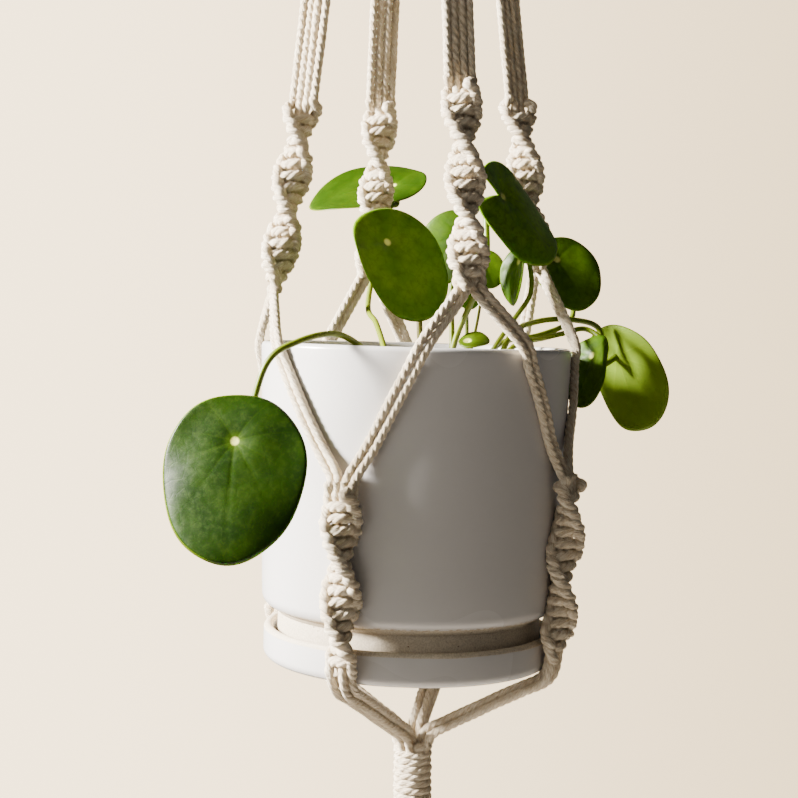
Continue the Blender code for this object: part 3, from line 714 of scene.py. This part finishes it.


# ---- Plant ----------------------------------------------------------------------------------

# Every leaf: middle above the rim, the way its upper side faces, the way its tip points, length
# and width, curl in degrees (less than 0 for a blade domed upwards), light: how much painted light
# lifts its green (0 for a leaf in the key light, more for one in shade or lit from behind), the
# stalk's route from the soil, and how brown the stalk is. A slit runs in from the edge to the
# stalk, at its angle from the tip in degrees. Points and sizes are in millimetres.
LEAVES = {
    "low_front": {
        "middle": (-66.9, -86, -47.5),
        "faces": (-0.12, -0.94, 0.30), "tip": (-0.05, -0.30, -0.95),
        "size": (64.3, 55.5), "curl": -22, "light": 0.0,
        "route": [(-11, -21, -15), (-17, -37, -4), (-29, -56, 4.6), (-44.6, -67, 1.6), (-56, -71, -7.7)],
    },
    "centre_front": {
        "middle": (-5, -24, 33),
        "faces": (0.55, -0.76, 0.35), "tip": (0.43, 0.0, -0.90),
        "size": (50, 44), "curl": 24, "light": 0.55,
        "route": [(2, -13, -15), (3, -14, 3), (0, -13, 22)],
        "brown": 0.85,
    },
    "back": {
        "middle": (-21, 80, 72),
        "faces": (-0.20, -0.47, 0.86), "tip": (-0.97, 0.0, -0.23),
        "size": (58, 46), "curl": 10, "light": 0.08,
        "route": [(-9, 3, -14), (-12, 20, -2), (-16, 42, 9), (-20, 60, 17), (-16, 74, 42), (-11, 79, 62)],
    },
    "behind_front_arm": {
        "middle": (15, 2, 41),
        "faces": (-0.45, -0.85, 0.25), "tip": (-0.55, 0.0, -0.83),
        "size": (34, 30), "curl": 22, "light": 0.35,
        "route": [(17, 5, -15), (17, 9, 4), (17, 11, 26)],
    },
    "folded": {
        "middle": (43.5, -20, 54),
        "faces": (0.72, -0.56, 0.41), "tip": (0.65, 0.34, -0.68),
        "size": (49, 42), "curl": -32,
        "slit": 157.5,
        "light": 1.0,
        "route": [(14, -16, -15), (18, -18, 4), (29, -24, 32)],
    },
    "back_right": {
        "middle": (70, 50, 32),
        "faces": (0.30, -0.88, 0.36), "tip": (0.42, 0.10, -0.90),
        "size": (37, 33), "curl": 20, "light": 0.42,
        "route": [(27, 14, -15), (38, 22, 0), (56, 31, 4), (71, 46, 10), (73, 57, 20)],
    },
    "far_right": {
        "middle": (96, 40, -15),
        "faces": (0.76, 0.58, 0.28), "tip": (0.28, 0.0, -0.96),
        "size": (50, 47), "curl": 24, "light": 0.6,
        "route": [(34, 2, -15), (42, 9, 4), (54, 20, 10), (70, 30, 11), (83, 34, 7)],
    },
    "small_right": {
        "middle": (76, 16, -11),
        "faces": (-0.80, -0.52, 0.30), "tip": (0.05, 0.0, -1.0),
        "size": (33, 28), "curl": 24, "light": 0.4,
        "route": [(33, 7, -15), (43, 10, -1), (57, 15, 3), (66, 22, 5), (76, 28, 7), (83, 24, 2)],
    },
    "small_centre": {
        "middle": (32, 22, 33),
        "faces": (0.20, -0.90, 0.38), "tip": (0.30, 0.0, -0.95),
        "size": (19, 17), "curl": 18, "light": 0.4,
        "route": [(22, 17, -15), (27, 22, 4), (30, 25, 22)],
        "brown": 0.7,
    },
    "soil_shoot": {
        "middle": (25, -22, 2),
        "faces": (-0.10, -0.55, 0.83), "tip": (1.0, 0.0, -0.05),
        "size": (13, 11), "curl": 40, "light": 0.3,
        "route": [(23, -17, -15), (23, -17, -8)],
        "brown": 0.5,
    },
    "young_low": {
        "middle": (23, 1, 21),
        "faces": (0.15, -0.90, 0.40), "tip": (0.20, 0.0, -0.98),
        "size": (13, 12), "curl": 24, "light": 0.5,
        "route": [(22, 0, -15), (23, 4, 0), (23, 5, 12)],
    },
    "young_edge_on": {
        "middle": (44, 6, 30),
        "faces": (-0.92, -0.36, 0.15), "tip": (0.05, 0.0, -1.0),
        "size": (27, 22), "curl": 60, "light": 0.5,
        "route": [(29, -6, -15), (34, -2, -2), (43, 3, 11), (50, 5, 22)],
    },
}
STEMS = {"left": (-5, -8, 9), "middle": (17, -4, 12), "right": (28, 3, 11)}

LEAF_THICKNESS = 0.0011
LEAF_ATTACHMENT = 0.42
DIMPLE = 0.022  # depth over the blade's length, where the stalk joins it
PETIOLE_RADIUS = 0.00125
STEM_RADIUS = 0.0032
SLIT_REACH = 0.10  # what a slit leaves between the stalk and the edge
SLIT_HALF_WIDTH = 17  # of a slit, in degrees round the blade
SLIT_LIFT = 0.0032  # how far the lobe beyond a slit rises over the other
VEIN_ANGLES = (0, 33, -34, 68, -66, 104, -107, 148, -150)  # from the tip, round the stalk
VEIN_WIDTH = 0.9  # half width of a vein's groove, in millimetres
VEIN_DEPTH = 0.13


def in_plant(point):
    x, y, height = (value / 1000 for value in point)
    return above_rim(x + PLANT_SHIFT, y, height)


def leaf_axes(leaf):
    faces = unit(np.array(leaf["faces"], float))
    tip = np.array(leaf["tip"], float)
    tip = unit(tip - faces * tip.dot(faces))
    return faces, tip, np.cross(tip, faces)


def blade_points(leaf, along, across, lift):
    """Points of the curled blade; along and across run from -1 to 1, and are arrays."""
    faces, tip, side = leaf_axes(leaf)
    length, width = (value / 2000 for value in leaf["size"])
    half_curl = radians(leaf["curl"]) / 2
    bend = width / half_curl
    angle = across * half_curl
    out = side * ((bend - lift) * np.sin(angle))[:, None]
    rise = faces * (bend - (bend - lift) * np.cos(angle) - 0.06 * length * along**2)[:, None]
    return in_plant(leaf["middle"]) + tip * (along * length)[:, None] + out + rise


def blade_outline(angle, seed):
    """A nearly round outline, a little uneven, as (along, across)."""
    reach = 1 + 0.012 * np.sin(2 * angle + seed) + 0.010 * np.sin(3 * angle + 2 * seed)
    reach = reach + 0.006 * np.sin(7 * angle + 3 * seed)
    along = reach * np.cos(angle)
    across = reach * np.sin(angle) * (1 - 0.05 * along)
    return along, across


def blade_relief(u, v, size, seed):
    """Height of the upper side over a plain blade, in metres, at millimetres from the stalk."""
    distance = np.hypot(u, v)
    heading = np.degrees(np.arctan2(v, u))
    grooves = np.zeros_like(u)
    for vein in VEIN_ANGLES:
        off = np.radians((heading - vein * (1 - 0.12 * distance / size) + 180) % 360 - 180)
        sideways_off = distance * np.sin(off)
        strength = np.where(np.abs(off) < 1.2, 1.0, 0.0) * (1.0 if vein == 0 else 0.55)
        fading = np.clip(1.15 - distance / size, 0, 1)
        grooves += strength * np.exp(-((sideways_off / VEIN_WIDTH) ** 2)) * fading
    dimple = -DIMPLE * size * np.exp(-((distance / (0.10 * size)) ** 2))
    pillow = 0.006 * size * np.sin(u * 5.5 / size + seed) * np.sin(v * 7.0 / size + 2 * seed)
    pillow += 0.004 * size * np.sin(u * 12.0 / size + 3 * seed) * np.cos(v * 11.0 / size + seed)
    return (dimple + pillow - VEIN_DEPTH * grooves) / 1000


def build_leaf(name, leaf, seed, surface, around=112, rings=24):
    """A thin round blade with a domed, faintly quilted upper side and a stalk at its dimple."""
    length, width = leaf["size"]
    angles = 2 * pi * np.arange(around) / around
    rim_along, rim_across = blade_outline(angles, seed)
    centre_along = -LEAF_ATTACHMENT
    if "slit" in leaf:
        away = np.abs(np.degrees(angles) - leaf["slit"]) / SLIT_HALF_WIDTH
        reach = np.clip(SLIT_REACH + (1 - SLIT_REACH) * away, 0, 1)
        rim_along = centre_along + (rim_along - centre_along) * reach
        rim_across = rim_across * reach
    vertices = []
    notes = []
    for side in (1, -1):
        for ring in range(rings + (1 if side == 1 else 0)):
            share = (ring / rings) ** 0.9
            along = centre_along + (rim_along - centre_along) * share
            across = rim_across * share
            if ring == 0:
                along, across = along[:1], across[:1]
            u = (along - centre_along) * length / 2
            v = across * width / 2
            thick = LEAF_THICKNESS / 2 * sqrt(max(0.0, 1 - share**12))
            relief = blade_relief(u, v, length, seed)
            lift = np.full(len(along), side * thick) + relief * (1.0 if side == 1 else 0.85)
            edge = 0.0010 * (length / 50) * (share**6) * np.sin(3 * angles[: len(along)] + seed)
            if "slit" in leaf:
                beyond = np.degrees(angles[: len(along)]) - leaf["slit"]
                lobe = np.tanh(beyond / 12) * np.exp(-((beyond / 55) ** 2))
                edge = edge + SLIT_LIFT * lobe * share**2
            vertices.append(blade_points(leaf, along, across, lift + edge))
            facing = side if ring < rings else 0
            notes.append(np.column_stack([u, v, np.full(len(along), float(facing))]))
    starts = np.cumsum([0] + [len(part) for part in vertices])
    faces = []
    upper = list(range(0, rings + 1))
    lower = list(range(rings + 1, 2 * rings + 1)) + [rings]
    for order, flip in ((upper, False), (lower, True)):
        for inner, outer in zip(order, order[1:]):
            for i in range(around):
                j = (i + 1) % around
                if inner in (0, rings + 1):
                    face = [starts[inner], starts[outer] + i, starts[outer] + j]
                else:
                    near, far = starts[inner], starts[outer]
                    face = [near + i, far + i, far + j, near + j]
                faces.append(face[::-1] if flip else face)
    faces = [[int(corner) for corner in face] for face in faces]
    points = np.vstack(vertices)
    nodes = [f"leaf_{name}"]
    piece = new_piece(f"blade_{name}", points.tolist(), faces, surface, nodes)
    face_outwards(piece)
    store(piece, "blade", np.vstack(notes))
    browning = leaf["brown"] if name == "soil_shoot" else 0.0
    # Painted light: the first channel lifts the green of leaves in shade or lit from behind; the second
    # is the blade's real browning.
    tone = (leaf["light"], browning, 0.0)
    store(piece, "tone", np.tile(tone, (len(points), 1)))


def tube(path, radii, sides=14):
    """Vertices and faces of a closed tube along a path."""
    angles = 2 * pi * np.arange(sides)[None, :] / sides
    points = round_the_path(path, radii[:, None], angles)
    index = np.arange(len(path) * sides).reshape(-1, sides)
    return points.reshape(-1, 3).tolist(), tube_faces(index)


def build_petiole(name, leaf, surface):
    """The leaf stalk: thicker at the stem, flaring a little where it meets the blade."""
    faces, _, _ = leaf_axes(leaf)
    centre = np.array([-LEAF_ATTACHMENT]), np.array([0.0])
    attachment = blade_points(leaf, *centre, np.array([0.0]))[0]
    approach = min(leaf["size"]) / 5000
    sunk = DIMPLE * leaf["size"][0] / 1000
    end = attachment - faces * (sunk + LEAF_THICKNESS * 0.2)
    points = [in_plant(point) for point in leaf["route"]]
    path = evenly(smooth([*points, attachment - faces * (approach + sunk), end], 8), 0.001)
    share = np.linspace(0, 1, len(path))
    slim = 0.55 + 0.45 * min(1, leaf["size"][0] / 40)
    swelling = 0.35 * np.exp(-share * 14) + 0.35 * np.exp(-(1 - share) * 40)
    radii = PETIOLE_RADIUS * slim * (1.0 + swelling)
    vertices, quads = tube(path, radii)
    nodes = [f"petiole_{name}"]
    piece = new_piece(f"stalk_{name}", vertices, quads, surface, nodes)
    sides = len(vertices) // len(path)
    brown = leaf.get("brown", 0.12)
    along = np.repeat(share, sides)
    store(piece, "stalk", np.column_stack([along, np.full(len(along), brown), along * 0]))


def build_stem(name, place, surface):
    x, y, height = place
    base = in_plant((x, y, SOIL_TOP * 1000 - 1.0))
    share = np.linspace(0, 1, 26)
    tall = 0.001 + height / 1000
    path = base + UP * (share * tall)[:, None]
    path[:, 0] += 0.0006 * np.sin(share * 3)
    scars = 0.07 * np.abs(np.sin(share * 13))
    radii = STEM_RADIUS * (1.08 - 0.22 * share + scars) * np.where(share > 0.97, 0.72, 1.0)
    vertices, quads = tube(path, radii, 28)
    new_piece(f"stub_{name}", vertices, quads, surface, [f"stem_{name}"])


def leaf_surface():
    """A waxy blade: paler veins and dot above, a matt yellow-green underside that is partly painted light
    shining through, and a green lifted by painted light on leaves in shade or lit from behind.
    """
    made = Surface("pilea_leaf", Roughness=0.4, Specular_IOR_Level=0.16)
    made.shader.inputs["Subsurface Weight"].default_value = 0.12
    made.shader.inputs["Subsurface Radius"].default_value = (0.4, 1.0, 0.1)
    made.shader.inputs["Subsurface Scale"].default_value = 0.0015
    blade = made.attribute("blade")
    parts = made.node("SeparateXYZ", Vector=blade)
    u, v, side = parts.outputs
    squared = made.plus(made.times(u, u), made.times(v, v))
    distance = made.math("SQRT", squared)
    heading = made.math("ARCTAN2", v, u)
    veins = None
    for degrees_off in VEIN_ANGLES:
        off = made.math("SUBTRACT", heading, radians(degrees_off))
        off = made.plus(off, made.times(distance, radians(degrees_off) * 0.0025))
        line = made.math("ABSOLUTE", made.times(made.math("SINE", off), distance))
        ahead = made.math("GREATER_THAN", made.math("COSINE", off), 0.2)
        width = 0.75 if degrees_off == 0 else 0.5
        line = made.times(made.between(line, width, 0.05), ahead)
        veins = line if veins is None else made.math("MAXIMUM", veins, line)
    veins = made.times(veins, made.between(distance, 30.0, 3.0))
    net = made.node("TexVoronoi", {"feature": "DISTANCE_TO_EDGE"}, Vector=blade, Scale=0.22)
    net = made.between(net.outputs["Distance"], 0.10, 0.0)
    blotch = made.noise(blade, 0.07, 3.0)
    mottle = made.noise(blade, 0.45, 4.0)
    tone = made.mix(made.between(blotch, 0.32, 0.68), (0.0055, 0.019, 0.0001), (0.0125, 0.033, 0.0001))
    # Painted light: the tone attribute's first channel moves a leaf's green towards a lighter green,
    # standing in for the light on leaves in shade or lit from behind.
    own = made.node("SeparateXYZ", Vector=made.attribute("tone"))
    painted_light_green = made.mix(made.between(blotch, 0.32, 0.68), (0.085, 0.210, 0.0002), (0.160, 0.310, 0.0003))
    tone = made.mix(own.outputs[0], tone, painted_light_green)
    tone = made.mix(own.outputs[1], tone, (0.035, 0.030, 0.001))
    spots = made.times(made.between(mottle, 0.45, 0.7), 0.35)
    tone = made.mix(spots, tone, (0.026, 0.055, 0.0002))
    tone = made.mix(made.times(net, 0.16), tone, (0.008, 0.032, 0.0003))
    tone = made.mix(made.times(veins, 0.16), tone, (0.035, 0.075, 0.0004))
    dot = made.between(distance, 2.1, 0.9)
    glow = made.times(made.between(distance, 5.0, 1.0), 0.35)
    tone = made.mix(glow, tone, (0.08, 0.15, 0.002))
    rim = made.times(made.between(made.math("ABSOLUTE", side), 0.6, 0.2), 0.6)
    tone = made.mix(rim, tone, (0.16, 0.20, 0.01))
    tone = made.mix(dot, tone, (0.60, 0.62, 0.16))
    # The underside's yellow-green is partly its own paler colour and partly painted light shining through
    # the blade from behind.
    under = made.mix(made.times(veins, 0.5), (0.085, 0.140, 0.0015), (0.12, 0.18, 0.006))
    beneath = made.math("LESS_THAN", side, 0.0)
    made.colour(made.mix(beneath, tone, under))
    waxy = made.between(mottle, 0.3, 0.7, 0.33, 0.42)
    made.roughness(made.plus(made.times(beneath, 0.30), waxy))
    relief = made.math("SUBTRACT", made.times(mottle, 0.5), made.times(net, 0.25))
    made.bump(relief, 0.15, 0.0003)
    return made.material


def stalk_surface():
    made = Surface("leaf_stalk", Roughness=0.42, Specular_IOR_Level=0.45)
    parts = made.node("SeparateXYZ", Vector=made.attribute("stalk"))
    along, brown, _ = parts.outputs
    green = made.mix(along, (0.150, 0.190, 0.001), (0.085, 0.140, 0.0008))
    streak = made.noise(made.stretched(made.place(), (1.0, 1.0, 0.15)), 900, 3.0)
    brownish = made.times(brown, made.between(streak, 0.25, 0.6, 0.5, 1.0))
    made.colour(made.mix(brownish, green, (0.07, 0.045, 0.006)))
    made.bump(streak, 0.3, 0.0002)
    return made.material


def bark_surface():
    made = Surface("stem_bark", Roughness=0.8)
    rough = made.noise(made.place(), 700, 5.0)
    made.colour(made.mix(made.between(rough, 0.3, 0.7), (0.10, 0.06, 0.025), (0.30, 0.22, 0.12)))
    made.bump(rough, 0.8, 0.0006)
    return made.material


def build_plant():
    leaf_green = leaf_surface()
    stalk_green = stalk_surface()
    bark = bark_surface()
    for number, (name, leaf) in enumerate(LEAVES.items()):
        build_leaf(name, leaf, 0.7 + 1.9 * number, leaf_green)
        build_petiole(name, leaf, stalk_green)
    for name, place in STEMS.items():
        build_stem(name, place, bark)


# ---- Pot, saucer and soil -------------------------------------------------------------------

def arc(middle, radius, start, end, steps):
    angles = np.radians(np.linspace(start, end, steps + 1))
    return [(middle[0] + radius * cos(a), middle[1] + radius * sin(a)) for a in angles]


def turned(name, outline, surface, node, sides=192):
    """Turns a closed outline of (radius, height) points about the pot's leaning axis."""
    angles = 2 * pi * np.arange(sides) / sides
    vertices = []
    rings = []
    for radius, height in outline:
        if radius == 0:
            rings.append([len(vertices)] * sides)
            vertices.append((0.0, 0.0, height))
            continue
        rings.append([len(vertices) + i for i in range(sides)])
        vertices += [(radius * cos(a), radius * sin(a), height) for a in angles]
    faces = []
    for lower, upper in zip(rings, rings[1:] + rings[:1]):
        for i in range(sides):
            j = (i + 1) % sides
            corners = list(dict.fromkeys([lower[i], lower[j], upper[j], upper[i]]))
            if len(corners) > 2:
                faces.append(corners)
    piece = new_piece(name, vertices, faces, surface, [node], leaning())
    face_outwards(piece)
    piece.data.set_sharp_from_angle(angle=radians(50))


def glazed(name, bare_from, bare_to):
    """White satin glaze over speckled stoneware, which is bare between two heights."""
    made = Surface(name, Roughness=0.28, Specular_IOR_Level=0.5, Coat_Weight=0.0)
    place = made.place()
    height = made.node("SeparateXYZ", Vector=place).outputs["Z"]
    wander = made.noise(place, 90, 4.0)
    edge = made.plus(height, made.times(made.math("SUBTRACT", wander, 0.5), 0.0009))
    below = made.between(edge, bare_from + 0.0002, bare_from - 0.0002)
    above = made.between(edge, bare_to - 0.0002, bare_to + 0.0002)
    bare = made.times(below, above)
    cloud = made.noise(place, 14, 1.0)
    white = made.mix(made.between(cloud, 0.3, 0.7), (0.50, 0.482, 0.468), (0.53, 0.512, 0.498))
    sand = made.noise(place, 1500, 4.0)
    clay = made.mix(made.between(sand, 0.35, 0.65), (0.46, 0.39, 0.29), (0.60, 0.52, 0.40))
    spots = made.node("TexVoronoi", Vector=place, Scale=420.0)
    speck = made.between(spots.outputs["Distance"], 0.16, 0.10)
    rare = made.between(made.noise(place, 260, 2.0), 0.52, 0.60)
    speck = made.times(speck, rare)
    clay = made.mix(made.times(speck, 0.85), clay, (0.14, 0.07, 0.03))
    over_line = made.between(edge, bare_from + 0.0011, bare_from)
    line = made.times(over_line, made.between(edge, bare_from - 0.0006, bare_from))
    burnt = made.times(line, made.between(made.noise(place, 520, 2.0), 0.42, 0.62))
    shade = made.mix(bare, white, clay)
    made.colour(made.mix(made.times(burnt, 0.8), shade, (0.30, 0.19, 0.10)))
    satin = made.between(cloud, 0.3, 0.7, 0.22, 0.30)
    made.roughness(made.plus(made.times(bare, 0.55), satin))
    grit = made.times(sand, bare)
    ripple = made.times(made.noise(made.stretched(place, (1.0, 1.0, 2.5)), 30, 0.0), 0.30)
    made.bump(made.plus(grit, ripple), 0.35, 0.0004)
    return made.material


def build_container():
    lip = POT_WALL / 2
    corner = (POT_BASE_RADIUS - POT_CORNER, GLAZE_BOTTOM + POT_CORNER)
    outline = arc((POT_RIM_RADIUS - lip, -lip), lip, 180, 0, 16)
    outline += [(wall_radius(h), h) for h in np.linspace(-0.006, GLAZE_BOTTOM + POT_CORNER + 0.004, 18)]
    outline += arc(corner, POT_CORNER, 0, -90, 14)
    outline += [(FOOT_RADIUS, GLAZE_BOTTOM - 0.0004), (FOOT_RADIUS, FOOT_BOTTOM + 0.0006)]
    outline += [(FOOT_RADIUS - 0.0006, FOOT_BOTTOM), (FOOT_RADIUS - FOOT_RING_WIDTH, FOOT_BOTTOM)]
    recess = POT_FLOOR - POT_WALL
    outline += [(FOOT_RADIUS - FOOT_RING_WIDTH, recess), (DRAIN_RADIUS, recess)]
    inner = wall_radius(POT_FLOOR) - POT_WALL
    outline += [(DRAIN_RADIUS, POT_FLOOR), (inner - POT_WALL, POT_FLOOR), (inner, POT_FLOOR + POT_WALL)]
    turned("glazed_pot", outline, glazed("pot_glaze", GLAZE_BOTTOM + 0.0008, -0.2), "pot")

    lip = SAUCER_WALL / 2
    corner = (SAUCER_RADIUS - POT_WALL, SAUCER_BOTTOM + POT_WALL)
    outline = [(0, SAUCER_FLOOR), (SAUCER_RADIUS - SAUCER_WALL, SAUCER_FLOOR)]
    outline += arc((SAUCER_RADIUS - lip, SAUCER_TOP - lip), lip, 180, 0, 14)
    outline += arc(corner, POT_WALL, 0, -90, 12)
    outline += [(SAUCER_FOOT_RADIUS, SAUCER_BOTTOM), (SAUCER_FOOT_RADIUS, SAUCER_FOOT_BOTTOM)]
    outline += [(0, SAUCER_FOOT_BOTTOM)]
    turned("glazed_saucer", outline, glazed("saucer_glaze", 0.1, SAUCER_TOP - 0.0016), "saucer")


SOIL_GAP = 0.0006  # between the soil and the pot's wall
CRUMBS = 900


def build_soil():
    """Potting mix: a lumpy top with loose crumbs on it."""
    made = Surface("potting_mix", Roughness=0.95, Specular_IOR_Level=0.2)
    grain = made.noise(made.place(), 420, 6.0, 0.7)
    lumps = made.noise(made.place(), 90, 3.0)
    dark = made.mix(made.between(grain, 0.3, 0.7), (0.018, 0.011, 0.007), (0.085, 0.052, 0.030))
    made.colour(made.mix(made.times(made.between(lumps, 0.5, 0.7), 0.4), dark, (0.16, 0.10, 0.05)))
    made.bump(grain, 1.0, 0.0010)
    radius = wall_radius(SOIL_TOP) - POT_WALL - SOIL_GAP
    low_radius = wall_radius(POT_FLOOR) - 2 * POT_WALL - SOIL_GAP
    bm = bmesh.new()
    rings, sides = 44, 120
    headings = [2 * pi * i / sides for i in range(sides)]
    grid = []
    for ring in range(1, rings + 1):
        reach = radius * ring / rings
        row = []
        for angle in headings:
            x, y = reach * cos(angle), reach * sin(angle)
            lump = noise.fractal((x * 160, y * 160, 0.3), 0.9, 2.1, 4) * 0.0011
            row.append(bm.verts.new((x, y, SOIL_TOP - 0.0008 + lump)))
        grid.append(row)
    top = bm.verts.new((0, 0, SOIL_TOP - 0.0008))
    base = []
    for angle in headings:
        base.append(bm.verts.new((low_radius * cos(angle), low_radius * sin(angle), POT_FLOOR + 0.0003)))
    for i in range(sides):
        j = (i + 1) % sides
        bm.faces.new((top, grid[0][i], grid[0][j]))
        for inner, outer in zip(grid, grid[1:]):
            bm.faces.new((inner[i], outer[i], outer[j], inner[j]))
        bm.faces.new((grid[-1][i], base[i], base[j], grid[-1][j]))
    bm.faces.new(base)
    for _ in range(CRUMBS):
        reach = (radius - 0.002) * sqrt(random.uniform())
        angle = random.uniform(0, 2 * pi)
        size = random.uniform(0.0004, 0.0013)
        stretch = random.uniform(0.6, 1.5, 3)
        height = SOIL_TOP - 0.0004 + size * 0.3
        place = Matrix.Translation((reach * cos(angle), reach * sin(angle), height))
        turn = Matrix.Rotation(random.uniform(0, 2 * pi), 4, "Z")
        turn = turn @ Matrix.Rotation(random.uniform(0, 1), 4, "X")
        shape = place @ turn @ Matrix.Diagonal((*(stretch * size), 1))
        bmesh.ops.create_icosphere(bm, subdivisions=1, radius=1, matrix=shape)
    bmesh.ops.recalc_face_normals(bm, faces=bm.faces)
    mesh = bpy.data.meshes.new("potting_mix")
    bm.to_mesh(mesh)
    bm.free()
    finished("potting_mix", mesh, made.material, ["soil"], leaning())


def build_ring():
    """A turned wooden ring."""
    made = Surface("ring_wood", Roughness=0.42, Specular_IOR_Level=0.4)
    grain = made.noise(made.stretched(made.place(), (0.35, 1.6, 1.6)), 420, 5.0)
    band = made.noise(made.stretched(made.place(), (0.25, 1.4, 1.4)), 110, 2.0)
    wood = made.mix(made.between(band, 0.3, 0.7), (0.50, 0.32, 0.17), (0.64, 0.45, 0.27))
    made.colour(made.mix(made.between(grain, 0.62, 0.74), wood, (0.30, 0.17, 0.08)))
    made.bump(grain, 0.3, 0.0003)
    around, sides = 144, 36
    middle = np.array((0, 0, -RING_BORE_RADIUS))
    vertices = []
    for i in range(around):
        angle = 2 * pi * i / around
        away = np.array((sin(angle), 0, cos(angle)))
        centre = middle + away * (RING_BORE_RADIUS + RING_BAR_RADIUS)
        for k in range(sides):
            turn = 2 * pi * k / sides
            offset = away * cos(turn) + np.array((0, sin(turn), 0))
            vertices.append(tuple(centre + offset * RING_BAR_RADIUS))
    index = np.arange(around * sides).reshape(around, sides)
    faces = quads_between(np.vstack([index, index[:1]]))
    ring = new_piece("wooden_ring", vertices, faces, made.material, ["hanging_ring"])
    face_outwards(ring)


# ---- Camera, light and background -----------------------------------------------------------

CAMERA_PLACE = (-0.00695, -0.650, RIM_HEIGHT + 0.0105)
CAMERA_PITCH = 0.0515
CAMERA_ROLL = 0.0073
CAMERA_LENS = 69.52
SENSOR_WIDTH = 36.0
FLOOR_DROP = 0.40  # from the tassel's end
# Painted light on the backdrop the camera sees: brighter beige to the left, where the key light is, and
# dimmer to the right.
PAINTED_LIT_BEIGE_LEFT = (4.7, 3.70, 2.35)
PAINTED_DIM_BEIGE_RIGHT = (2.55, 1.96, 1.14)
BEIGE_FROM, BEIGE_TO = -0.30, 0.36  # where the one beige starts to turn into the other
ROOM_LIGHT = (1.0, 0.95, 0.88)
ROOM_STRENGTH = 0.12
LIT_PLACE = (0, 0, RIM_HEIGHT - 0.04)
KEY_PLACE = (-1.06, -0.12, RIM_HEIGHT + 0.40)
FILL_PLACE = (-0.95, -0.95, RIM_HEIGHT + 0.25)


def build_camera():
    camera = linked("camera", bpy.data.cameras.new("camera"))
    camera.data.lens = CAMERA_LENS
    camera.data.sensor_width = SENSOR_WIDTH
    camera.location = CAMERA_PLACE
    level = Matrix.Rotation(radians(90) - CAMERA_PITCH, 3, "X")
    camera.rotation_euler = (level @ Matrix.Rotation(CAMERA_ROLL, 3, "Z")).to_euler()
    camera.data.clip_start = 0.01
    camera.data.clip_end = 50
    bpy.context.scene.camera = camera


def square_light(name, place, size, power, colour):
    """A square lamp that faces the pot."""
    light = bpy.data.lights.new(name, "AREA")
    light.shape = "RECTANGLE"
    light.size = light.size_y = size
    light.energy = power
    light.color = colour
    made = linked(name, light)
    made.location = place
    made.rotation_mode = "QUATERNION"
    made.rotation_quaternion = (Vector(place) - Vector(LIT_PLACE)).to_track_quat("Z", "Y")
    return made


def build_stage():
    """A pale plain ground below, and a warm background all round, with painted light that makes it
    brighter on the left and dimmer on the right.
    """
    low, _ = CAD_BOX
    ground = Surface("stage_floor", Roughness=0.9)
    cloud = ground.noise(ground.place(), 4.0)
    ground.colour(ground.mix(cloud, (0.64, 0.585, 0.51), (0.67, 0.615, 0.54)))
    bm = bmesh.new()
    bmesh.ops.create_circle(bm, cap_ends=True, segments=96, radius=0.55)
    mesh = bpy.data.meshes.new("floor")
    bm.to_mesh(mesh)
    bm.free()
    mesh.materials.append(ground.material)
    floor = linked("floor", mesh)
    floor.location = (0, 0, low[2] - FLOOR_DROP)

    world = bpy.data.worlds.new("studio")
    bpy.context.scene.world = world
    world.use_nodes = True
    sky = Nodes(world.node_tree)
    heading = sky.node("TexCoord").outputs["Generated"]
    across = sky.node("SeparateXYZ", Vector=heading).outputs["X"]
    seen = sky.tree.nodes["Background"]
    # Painted light: the backdrop's beige runs from bright on the left to dim on the right.
    beige = sky.mix(sky.between(across, BEIGE_FROM, BEIGE_TO), PAINTED_LIT_BEIGE_LEFT, PAINTED_DIM_BEIGE_RIGHT)
    sky.feed(seen.inputs["Color"], beige)
    seen.inputs["Strength"].default_value = 1.0
    room = sky.node("Background", Color=(*ROOM_LIGHT, 1), Strength=ROOM_STRENGTH)
    choose = sky.node("MixShader", Fac=sky.node("LightPath").outputs["Is Camera Ray"])
    for socket, light in ((choose.inputs[1], room), (choose.inputs[2], seen)):
        sky.feed(socket, light.outputs[0])
    sky.feed(sky.tree.nodes["World Output"].inputs["Surface"], choose.outputs[0])

    square_light("key", KEY_PLACE, 0.24, 190, (1.0, 0.955, 0.89))
    soft = square_light("fill", FILL_PLACE, 0.9, 5.5, ROOM_LIGHT)
    soft.visible_glossy = False


build_camera()
build_hanger()
build_plant()
build_container()
build_soil()
build_ring()
build_stage()
